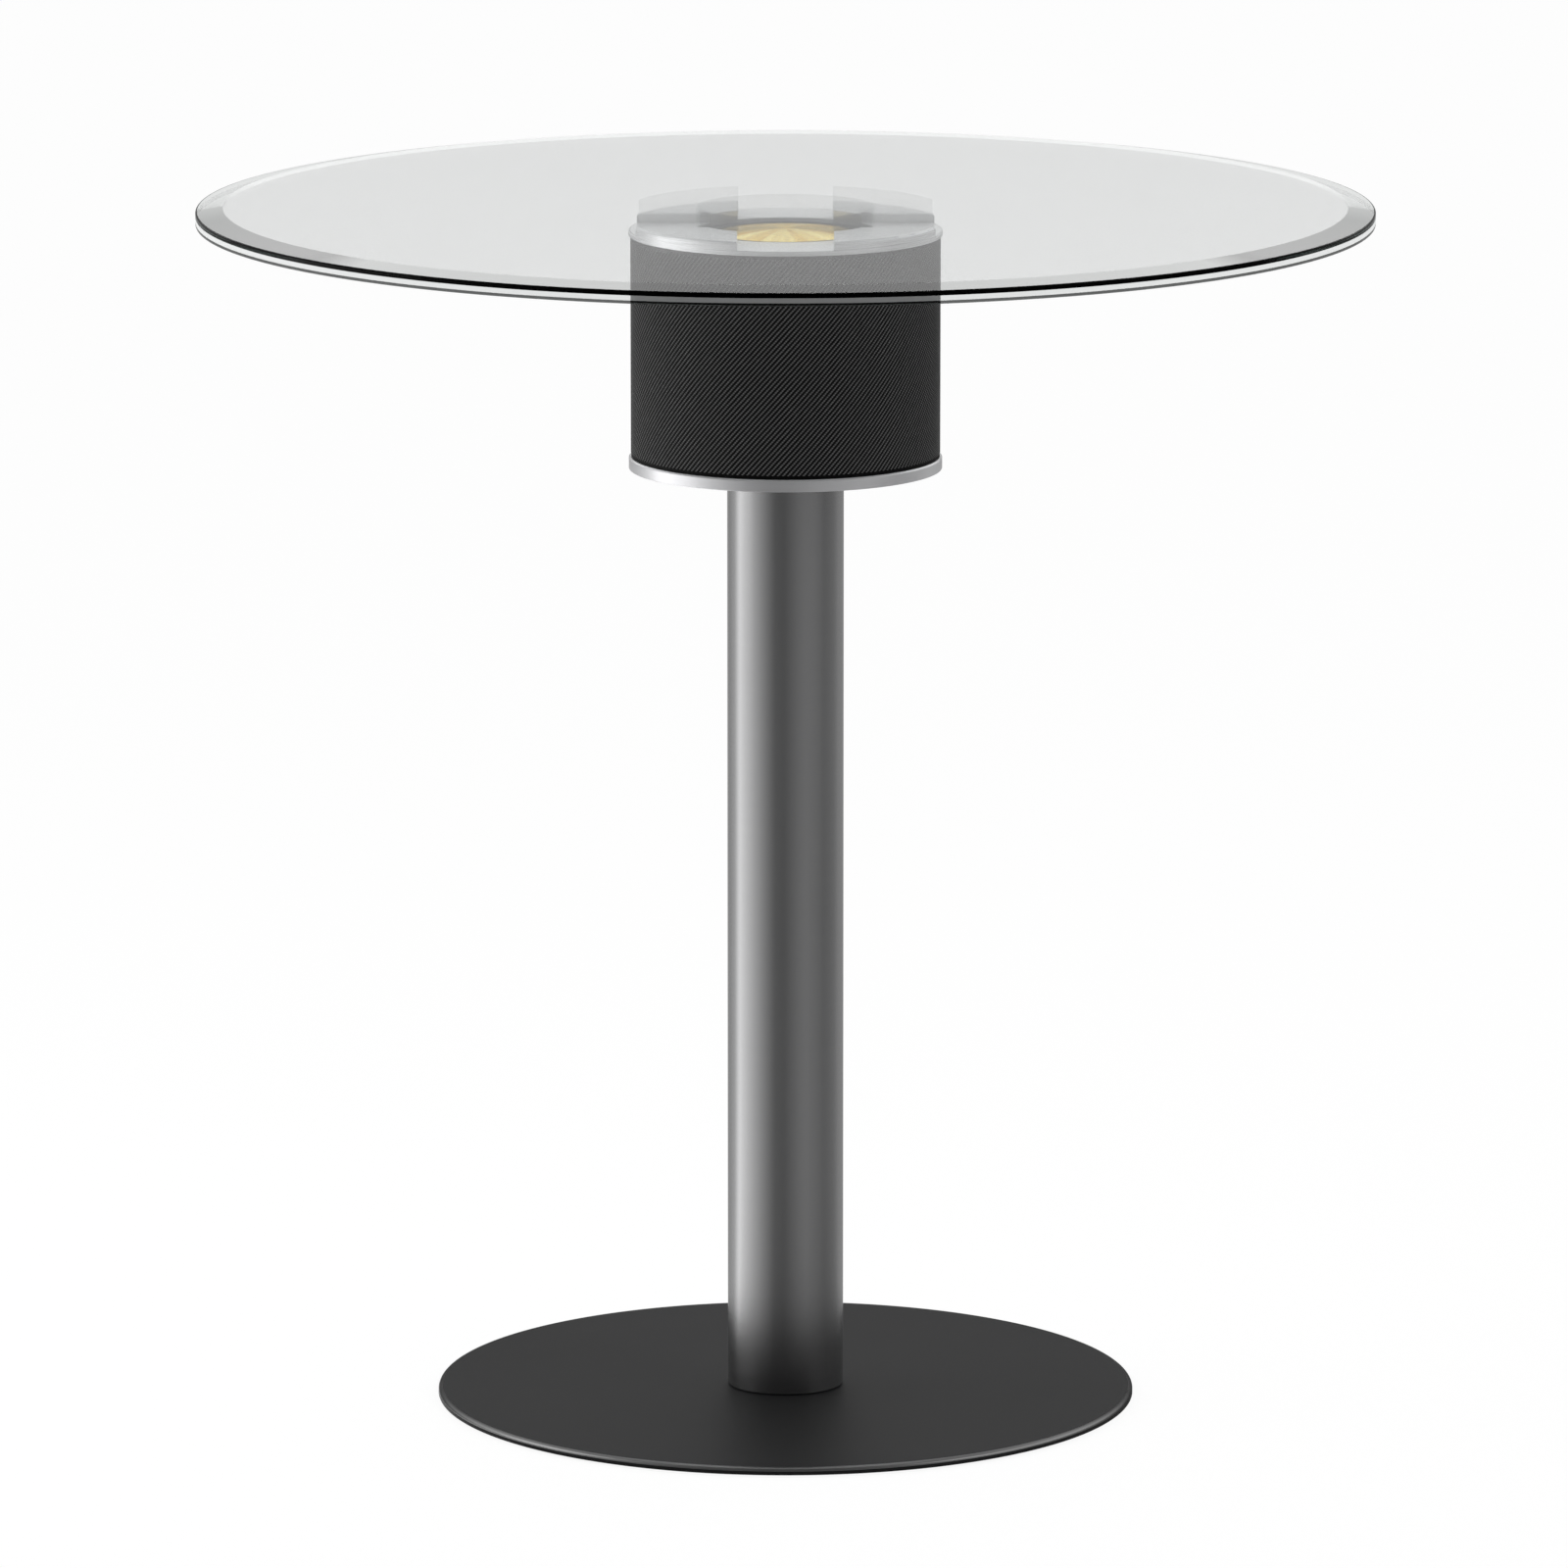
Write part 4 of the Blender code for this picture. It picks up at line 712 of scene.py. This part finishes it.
# %% Clear acrylic
acrylic = Finish("clear acrylic", (0.22, 0.23, 0.24), 0.1, Alpha=0.075)
wipe = acrylic.noise(acrylic.stretched(acrylic.place(), 20, 60, 60), 1, 2.0)
acrylic.blend(wipe, (0.19, 0.20, 0.21), (0.25, 0.26, 0.27))
acrylic.set({"Roughness": wipe * 0.1 + 0.05})
print(acrylic.material.name, len(acrylic.tree.nodes), "nodes")

# %% [markdown]
# ## Which node wears what
#
# The record names a material slot for every node. Nodes whose shape is fine as it is take
# their finish from that name, and the finer pieces that follow cover the ones that show.

# %% Finishes by slot
FINISHES = {
    "charcoal_coat": coat,
    "black_rubber": rubber,
    "brushed_tube": steel_tube,
    "zinc_steel": zinc,
    "satin_aluminium": aluminium,
    "black_moulding": moulding,
    "clear_acrylic": acrylic,
    "clear_glass": face_glass,
    "spun_gold": gold,
    "coil_former": coil,
    "spider_cloth": cloth,
    "ferrite": ferrite,
    "white_board": white_mask,
    "green_board": board,
    "cell_wrap": wrap,
}
slots = {part["node"]: part["material_slot"] for part in frame["record"]["subparts"]}
for node_name, slot_name in slots.items():
    if slot_name in FINISHES:
        nodes[node_name].material_slots[0].material = FINISHES[slot_name].material
print("dressed:", len(slots), "nodes in", len(set(slots.values())), "slots")


# %% Finding a node and standing for it
def stands_for(node_name):
    """Hides the node that the new piece covers."""
    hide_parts(node_name)


def reach(node_name):
    """Outer radius, lowest and highest point of a node that is round about the axis."""
    low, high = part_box(node_name)
    return high[0], low[2], high[2]


SEAT = 0.0002
print("the glass reaches", round(1000 * reach("glass_top")[0]), "mm out")

# %% [markdown]
# ## Foot and column
#
# The foot is one thin disc. Its upper edge is a quarter of an ellipse in bare burnished
# metal, which catches a line of light at the front. A cylinder with a bevel modifier would
# round it as a circle, so the ellipse is drawn in the profile. The column is a plain tube,
# and its ends are broken by a small radius. SEAT is how far a piece is let into what it
# meets, so that no light shows between them.

# %% Foot
FOOT_STEPS = 256
RIM_WIDTH = 0.0026
RIM_DROP = 0.0022
UNDER_GAP = 0.00005
UNDER_EDGE = 0.0004
LEVEL_HOLD = 0.0005
foot_radius, foot_low, foot_top = reach("base_plate")
rim_inner = foot_radius - RIM_WIDTH
rim_low = foot_top - RIM_DROP
sweep = np.linspace(0, math.pi / 2, 12)
rim = np.stack((rim_inner + RIM_WIDTH * np.cos(sweep), rim_low + RIM_DROP * np.sin(sweep)), -1)
foot_under = foot_low + UNDER_GAP
under = rounded([(0, foot_under), (foot_radius, foot_under), rim[0]], [0, UNDER_EDGE, 0])
level = [(rim_inner - LEVEL_HOLD, foot_top), (0, foot_top)]
foot = turned("foot_disc", np.vstack((under, rim, level)), FOOT_STEPS, coat, ring=False)
dress_faces(foot, [burnished], lambda radius, z: (radius > rim_inner - HOLD) & (z > rim_low - HOLD))
stands_for("base_plate")
print("foot:", round(2000 * foot_radius), "mm across")

# %% Column
TUBE_STEPS = 128
TUBE_WALL = 0.0020
TUBE_EDGES = [0.0003, 0.0009, 0.0006, 0.0003]
tube_radius, tube_low, tube_top = reach("column_tube")
tube_bore = tube_radius - TUBE_WALL
walls = [
    (tube_bore, tube_low - SEAT),
    (tube_radius, tube_low - SEAT),
    (tube_radius, tube_top + SEAT),
    (tube_bore, tube_top + SEAT),
]
column = turned("column", rounded(walls, TUBE_EDGES), TUBE_STEPS, steel_tube)
stands_for("column_tube")
print("column:", round(1000 * (tube_top - tube_low)), "mm long")

# %% [markdown]
# Four rubber glides keep the plate off the floor. Each is a small disc, worked out like the
# foot and set down where its node is.

# %% Glides
GLIDE_STEPS = 48
GLIDE_EDGES = [0, 0.0005, 0.0001, 0]
for number in range(1, 5):
    low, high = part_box(f"floor_glide_{number}")
    radius = (high[0] - low[0]) / 2
    pad = rounded([(0, low[2]), (radius, low[2]), (radius, high[2]), (0, high[2])], GLIDE_EDGES)
    glide = turned(f"glide_{number}", pad, GLIDE_STEPS, rubber, ring=False, centre=(low + high) / 2)
    stands_for(f"floor_glide_{number}")
print("glides: 4")

# %% [markdown]
# ## The drum's two aluminium rings
#
# The lower ring is plain lathe work: a ledge that the drum's floor lies on, a wall round
# the sleeve's hem, and a small chamfer outside.

# %% Lower ring
RING_STEPS = 192
RING_EDGES = [0.0003, 0.0004, 0.0003, 0.0003, 0.0002, 0.0002, 0.0003]
RING_CHAMFER = 0.0009
RING_WALL = 0.0024
LEDGE_WIDTH = 0.0132
LEDGE_THICKNESS = 0.0025
ring_radius, ring_low, ring_top = reach("lower_ring")
sleeve_bore = ring_radius - RING_WALL
ledge_radius = ring_radius - LEDGE_WIDTH
ledge_top = ring_low + LEDGE_THICKNESS
ring_section = [
    (ledge_radius, ring_low),
    (ring_radius, ring_low),
    (ring_radius, ring_top - RING_CHAMFER),
    (ring_radius - RING_CHAMFER, ring_top),
    (sleeve_bore, ring_top),
    (sleeve_bore, ledge_top),
    (ledge_radius, ledge_top),
]
# The ring wears the aluminium painted darker, a painted shade.
lower_ring = turned("drum_ring", rounded(ring_section, RING_EDGES), RING_STEPS, painted_shade)
stands_for("lower_ring")
print("lower ring:", round(2000 * ring_radius, 1), "mm across")

# %% [markdown]
# The crown starts the same way, and then a cutter takes two crossed slots out of it. A
# boolean modifier could cut them too, but it leaves thin faces that shade badly. Followed
# round its rim, the crown is one profile that drops to the slots' floor and rises again,
# so it is drawn as that: a profile carried round the ring, with its heights cut off at
# the floor wherever a slot passes. A slot's sides are straight and parallel, so the angle
# at which they are met changes with the radius.

# %% Plan lines beside a slot
BORE_RADIUS = 0.0535
SLOT_HALF_WIDTH = 0.0285
PAD_STATIONS = 26
SLOT_STATIONS = 14


def pad_turn(radius, share):
    """Angle on a pad, at share 0 to 1 from one slot to the next: a slot's straight side is
    met at the angle asin(half width / radius)."""
    side = np.arcsin(SLOT_HALF_WIDTH / radius)
    return side + share * (math.pi / 2 - 2 * side)


def slot_turn(radius, share):
    """Angle across the slot that comes before that pad, from side to side."""
    side = np.arcsin(SLOT_HALF_WIDTH / radius)
    return (2 * share - 1) * side


def stations(section, angle_of, count, quarter):
    """The section at count places across a pad or a slot, as a grid of points."""
    radius, height = np.asarray(section, float).T
    share = np.linspace(0, 1, count)[:, None]
    return polar(radius, angle_of(radius[None, :], share) + quarter * math.pi / 2, height)


pad_sweep = pad_turn(BORE_RADIUS, 1) - pad_turn(BORE_RADIUS, 0)
print("at the bore a pad covers", round(math.degrees(pad_sweep), 1), "degrees")

# %% Slotted crown
SLOT_DEPTH = 0.0054
CHAMFER = 0.0012
SPIGOT_DROP = 0.0032
SPIGOT_INNER = 0.0760
SPIGOT_OUTER = 0.0907
crown_radius, crown_low, crown_top = reach("slotted_crown")
slot_floor = crown_top - SLOT_DEPTH
shoulder = crown_low + SPIGOT_DROP
crown_section = np.array(
    [
        (BORE_RADIUS, shoulder),
        (SPIGOT_INNER, shoulder),
        (SPIGOT_INNER, crown_low),
        (SPIGOT_OUTER, crown_low),
        (SPIGOT_OUTER, shoulder),
        (crown_radius, shoulder),
        (crown_radius, slot_floor),
        (crown_radius, crown_top - CHAMFER),
        (crown_radius - CHAMFER, crown_top),
        (BORE_RADIUS, crown_top),
        (BORE_RADIUS, slot_floor),
    ]
)
slot_section = np.minimum(crown_section, (np.inf, slot_floor))
sectors = []
for quarter in range(4):
    sectors.append(stations(slot_section, slot_turn, SLOT_STATIONS, quarter))
    sectors.append(stations(crown_section, pad_turn, PAD_STATIONS, quarter))
crown_points = np.concatenate(sectors)
crown_faces = grid_faces(len(crown_points), len(crown_section), True, True)
crown = piece("crown", crown_points, crown_faces, aluminium)
print("crown:", len(crown.data.polygons), "faces")

# %% [markdown]
# A bevel modifier breaks the crown's edges, and it is applied at once, so that the mesh is
# finished before its faces get their finishes. Inside the chamfer everything wears the
# milled aluminium that is painted lighter, a painted highlight.

# %% Fine edges by a bevel that is applied
BROKEN_ANGLE = math.radians(30)
CROWN_EDGE = 0.0005


def break_edges(made, width):
    """Rounds the edges sharper than 30 degrees and keeps the result as plain mesh."""
    bevel = made.modifiers.new("fine edges", "BEVEL")
    bevel.width = width
    bevel.segments = 2
    bevel.limit_method = "ANGLE"
    bevel.angle_limit = BROKEN_ANGLE
    flat = made.modifiers.new("flat faces", "WEIGHTED_NORMAL")
    flat.keep_sharp = True
    shown = made.evaluated_get(bpy.context.evaluated_depsgraph_get())
    fresh = bpy.data.meshes.new_from_object(shown)
    made.modifiers.clear()
    made.data = fresh


break_edges(crown, CROWN_EDGE)
# Inside the chamfer: the aluminium painted lighter, a painted highlight.
dress_faces(crown, [milled_and_lit], lambda radius, z: radius < crown_radius - CHAMFER)
stands_for("slotted_crown")
print("crown with fine edges:", len(crown.data.polygons), "faces")

# %% [markdown]
# ## Clear blocks, light guide and glass
#
# A block repeats the pad that it stands on, so it is made by the same plan lines, closed at
# both ends. The guide is a thin clear tube in the crown's opening.

# %% Blocks
BLOCK_EDGE = 0.0004


def capped(grid):
    """Faces of an open row of sections: quads between them and a flat cap at each end."""
    rows, columns = grid.shape[:2]
    quads = grid_faces(rows, columns, False, True).tolist()
    last = (rows - 1) * columns
    return quads + [list(range(columns)), list(range(last + columns - 1, last - 1, -1))]


for number in range(1, 5):
    low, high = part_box(f"clear_block_{number}")
    centre = (low + high) / 2
    quarter = round((math.atan2(centre[1], centre[0]) - math.pi / 4) / (math.pi / 2)) % 4
    block_section = [
        (BORE_RADIUS, low[2] - SEAT),
        (crown_radius - CHAMFER, low[2] - SEAT),
        (crown_radius - CHAMFER, high[2] + SEAT),
        (BORE_RADIUS, high[2] + SEAT),
    ]
    grid = stations(block_section, pad_turn, PAD_STATIONS, quarter)
    block = piece(f"clear_pad_{number}", grid, capped(grid), acrylic)
    break_edges(block, BLOCK_EDGE)
    stands_for(f"clear_block_{number}")
print("blocks: 4")

# %% Light guide
GUIDE_STEPS = 160
GUIDE_WALL = 0.0020
GUIDE_EDGE = 0.0003
guide_radius, guide_low, guide_top = reach("light_guide")
guide_bore = guide_radius - GUIDE_WALL
guide_section = [
    (guide_bore, guide_low),
    (guide_radius, guide_low),
    (guide_radius, guide_top + SEAT),
    (guide_bore, guide_top + SEAT),
]
guide = turned("guide_tube", rounded(guide_section, GUIDE_EDGE), GUIDE_STEPS, acrylic)
stands_for("light_guide")
print("guide:", round(2000 * guide_bore, 1), "mm inside")

# %% [markdown]
# The glass is a disc with a wide polished bevel. Its rim draws the fine dark and white lines
# at the front of the table, so its edges are rounded in small steps, and a ground seam,
# sunk by a twentieth of a millimetre, parts the rim's upper glass, painted dark, from the
# lower one, painted a paler grey. Edges over seven degrees stay sharp, or the flat face
# would shade like a lens.

# %% Glass top
GLASS_STEPS = 640
EDGE_STEPS = 16
GLASS_HOLD = 0.0004
LOW_EDGE = 0.0006
BEVEL_EDGE = 0.0008
BEVEL_WIDTH = 0.0163
BEVEL_DROP = 0.0025
RIM_DEPTH = 0.0012
SEAM_LOW = 0.0019
SEAM_HEIGHT = 0.0029
SEAM_GROUND = 0.00005
POLISHED_ANGLE = math.radians(7)
glass_radius, glass_low, glass_top = reach("glass_top")
seam_radius = glass_radius - SEAM_GROUND
seam_low = glass_low + SEAM_LOW
seam_top = seam_low + SEAM_HEIGHT
glass_corners = [
    (0, glass_low),
    (glass_radius, glass_low),
    (seam_radius, seam_low),
    (seam_radius, seam_top),
    (glass_radius, glass_top - BEVEL_DROP),
    (glass_radius - BEVEL_WIDTH, glass_top),
    (0, glass_top),
]
glass_edges = [0, LOW_EDGE, 0, 0, BEVEL_EDGE, 0, 0]
glass_section = rounded(glass_corners, glass_edges, EDGE_STEPS, GLASS_HOLD)
glass = turned("table_glass", glass_section, GLASS_STEPS, face_glass, ring=False)
glass.data.set_sharp_from_angle(angle=POLISHED_ANGLE)
print("glass:", round(2000 * glass_radius), "mm across,", len(glass.data.polygons), "faces")


# %% Zones of the glass
def glass_zone(radius, z):
    """0 is the flat face and the underside, 1 the bevel, 2 the rim above the seam, 3 the
    seam and 4 the rim below it."""
    rim = np.where(z < seam_low, 4, np.where(z < seam_top, 3, 2))
    bevel = (radius > glass_radius - BEVEL_WIDTH) & (z > seam_low)
    return np.where(radius > glass_radius - RIM_DEPTH, rim, bevel)


dress_faces(glass, outer_zones, glass_zone)
stands_for("glass_top")
print("finishes on the glass:", len(glass.data.materials))

# %% [markdown]
# ## The mesh sleeve
#
# The sleeve is knitted wire. Made wire by wire it would take millions of faces, and at
# this distance it reads as fine ribs that climb to the right, so the ribs are made. Each
# one is a helix: walking round the drum, the radius is a wave of the turn minus the climb.
# The grid itself leans along the ribs, so that few rows are needed, and flat hems close
# it at both ends.

# %% Ribs of the sleeve
RIBS = 190
STEPS_PER_RIB = 6
ROWS = 34
RIB_DEPTH = 0.0005
HEM = 0.0020
LEAN = math.radians(42)
sleeve_radius, sleeve_low, sleeve_top = reach("mesh_sleeve")
rib_low = sleeve_low + HEM
rib_top = sleeve_top - HEM
climb = np.linspace(0, 1, ROWS)[:, None] * (rib_top - rib_low)
twist = climb * math.tan(LEAN) / sleeve_radius
turn = np.linspace(0, math.tau, RIBS * STEPS_PER_RIB, endpoint=False)[None, :]
rib_radius = sleeve_radius - RIB_DEPTH * (0.5 - 0.5 * np.cos(RIBS * turn))
rib_rows = polar(rib_radius, turn + twist, rib_low + climb)
print("ribs:", RIBS, "each", round(1000 * math.tau * sleeve_radius / RIBS, 1), "mm wide")

# %% Sleeve with its hems
SLEEVE_WALL = 0.0012
HEM_SUNK = 0.0003
hem_radius = sleeve_radius - HEM_SUNK
inner_radius = sleeve_radius - SLEEVE_WALL
foot_turn = turn + twist[0]
head_turn = turn + twist[-1]
sleeve_rows = np.concatenate(
    (
        polar(inner_radius, foot_turn, sleeve_low),
        polar(hem_radius, foot_turn, sleeve_low),
        polar(hem_radius, foot_turn, rib_low),
        rib_rows,
        polar(hem_radius, head_turn, rib_top),
        polar(hem_radius, head_turn, sleeve_top),
        polar(inner_radius, head_turn, sleeve_top),
    )
)
print("sleeve grid:", sleeve_rows.shape)

# %% [markdown]
# The knit's colour follows the same helix, crossed with a finer one that cuts each rib into
# beads. Both are waves of the bearing and the height, and the hems stay black. The rib
# pattern carries painted light too: its crests are a painted highlight and its valleys,
# near black, a painted shade.

# %% Knit
knit = Finish("black knitted mesh", (0.02, 0.02, 0.02), 0.6, Specular_IOR_Level=0.05)
x, y, z = knit.axes(knit.place())
around = y.maths("ARCTAN2", x)
along_rib = around * RIBS - (z - rib_low) * (RIBS * math.tan(LEAN) / sleeve_radius)
across_rib = around * RIBS + z * (RIBS * 2 / sleeve_radius)
crest = along_rib.maths("COSINE") * 0.5 + 0.5
bead = across_rib.maths("COSINE") * 0.5 + 0.5
knitted = (z - rib_low).maths("GREATER_THAN", 0) * (rib_top - z).maths("GREATER_THAN", 0)
lift = crest * (bead * 0.45 + 0.55) * knitted
# Crests painted light and valleys near black: painted highlight and painted shade.
knit.blend(lift * lift, (0.003, 0.003, 0.003), (0.190, 0.190, 0.190))
knit.set({"Roughness": lift * -0.10 + 0.62})
sleeve = piece("knit_sleeve", sleeve_rows, grid_faces(*sleeve_rows.shape[:2], True, True), knit)
stands_for("mesh_sleeve")
print("sleeve:", len(sleeve.data.polygons), "faces")

# %% [markdown]
# ## The speaker's face
#
# A shallow spun dome moves with the voice coil: its height falls with the square of the
# Round it runs a rubber half roll, glued to the dome at its inner lip and to the
# basket outside, so it has to give between two bodies. It is cut into narrow wedges, which
# are left on no body.

# %% Dome
DOME_STEPS = 160
DOME_WALL = 0.0005
DOME_RISE = 0.0031
dome_radius, dome_low, dome_top = reach("gold_diaphragm")
share = np.linspace(0, 1, 24)
outside = np.stack((dome_radius * share, dome_top - DOME_RISE * share**2), -1)
dome_section = np.vstack((outside - (0, DOME_WALL), outside[::-1]))
dome = turned("dome", dome_section, DOME_STEPS, gold, "moving_coil", ring=False)
stands_for("gold_diaphragm")
print("dome rises", round(1000 * (dome_top - dome_low - DOME_WALL), 1), "mm")

# %% Profile of the half roll
ROLL_WALL = 0.0006
LAND = 0.0010
LIP_RADIUS = 0.0395
roll_radius, roll_low, roll_top = reach("driver_surround")
roll_inner = dome_radius + ROLL_WALL
roll_half = (roll_radius - LAND - roll_inner) / 2
roll_middle = roll_inner + roll_half
arch = np.linspace(0, math.pi, 14)
swing = np.stack((np.cos(arch), np.sin(arch)), -1)
over = (roll_middle, roll_low) + (roll_half + ROLL_WALL) * swing
over = over[over[:, 1] > roll_low + ROLL_WALL]
below = (roll_middle, roll_low) + roll_half * swing * (-1, 1)
roll_section = np.vstack(
    (
        [(LIP_RADIUS, roll_low)],
        below,
        [(roll_radius, roll_low), (roll_radius, roll_low + ROLL_WALL)],
        over,
        [(LIP_RADIUS, roll_low + ROLL_WALL)],
    )
)
print("half roll:", [round(1000 * part, 1) for part in (2 * roll_half, roll_top - roll_low)], "mm")

# %% Wedges of the half roll
WEDGES = 16
WEDGE_STEPS = 8
wedge_turn = math.tau / WEDGES
# Measured along a wedge's middle line, its corners lie nearer the axis by this share.
corner_share = math.cos(wedge_turn / 2)
for number in range(WEDGES):
    turn = (number + np.linspace(0, 1, WEDGE_STEPS + 1))[:, None] * wedge_turn
    grid = polar(roll_section[:, 0], turn, roll_section[:, 1])
    wedge = piece(f"half_roll_{number + 1}", grid, capped(grid), rubber, None)
    middle = (number + 0.5) * wedge_turn
    way = np.array([math.cos(middle), math.sin(middle), 0])
    start = way * (roll_middle + roll_half) + (0, 0, roll_low)
    end = way * (roll_middle - roll_half) * corner_share + (0, 0, roll_low)
    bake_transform(wedge)
    stands_for("driver_surround")
print("half roll:", WEDGES, "wedges")

# %% [markdown]
# ## Power button
#
# The button is found by feel under the drum, so its face is dished for a fingertip. A
# flange keeps it from falling out, and its stem reaches the switch above.

# %% Button
BUTTON_STEPS = 64
BUTTON_RADIUS = 0.0060
BUTTON_EDGES = [0, 0.0006, 0.0001, 0.0001, 0.0001, 0.0001, 0.0002, 0]
DISH_SHARE = 0.78
DISH_DEPTH = 0.0004
FLANGE_UP = 0.0055
FLANGE_THICKNESS = 0.0010
STEM_RADIUS = 0.0025
low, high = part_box("power_button")
flange_radius = (high[0] - low[0]) / 2
flange_low = low[2] + FLANGE_UP
flange_top = flange_low + FLANGE_THICKNESS
dish = np.linspace(0, 1, 8)
face = np.stack((BUTTON_RADIUS * DISH_SHARE * dish, low[2] + DISH_DEPTH * (1 - dish**2)), -1)
sides = [
    face[-1],
    (BUTTON_RADIUS, low[2]),
    (BUTTON_RADIUS, flange_low),
    (flange_radius, flange_low),
    (flange_radius, flange_top),
    (STEM_RADIUS, flange_top),
    (STEM_RADIUS, high[2]),
    (0, high[2]),
]
button_section = np.vstack((face, rounded(sides, BUTTON_EDGES)))
centre = (low + high) / 2
button = turned("button_cap", button_section, BUTTON_STEPS, moulding, "button", False, centre)
stands_for("power_button")
print("button at", [round(1000 * part, 1) for part in centre])
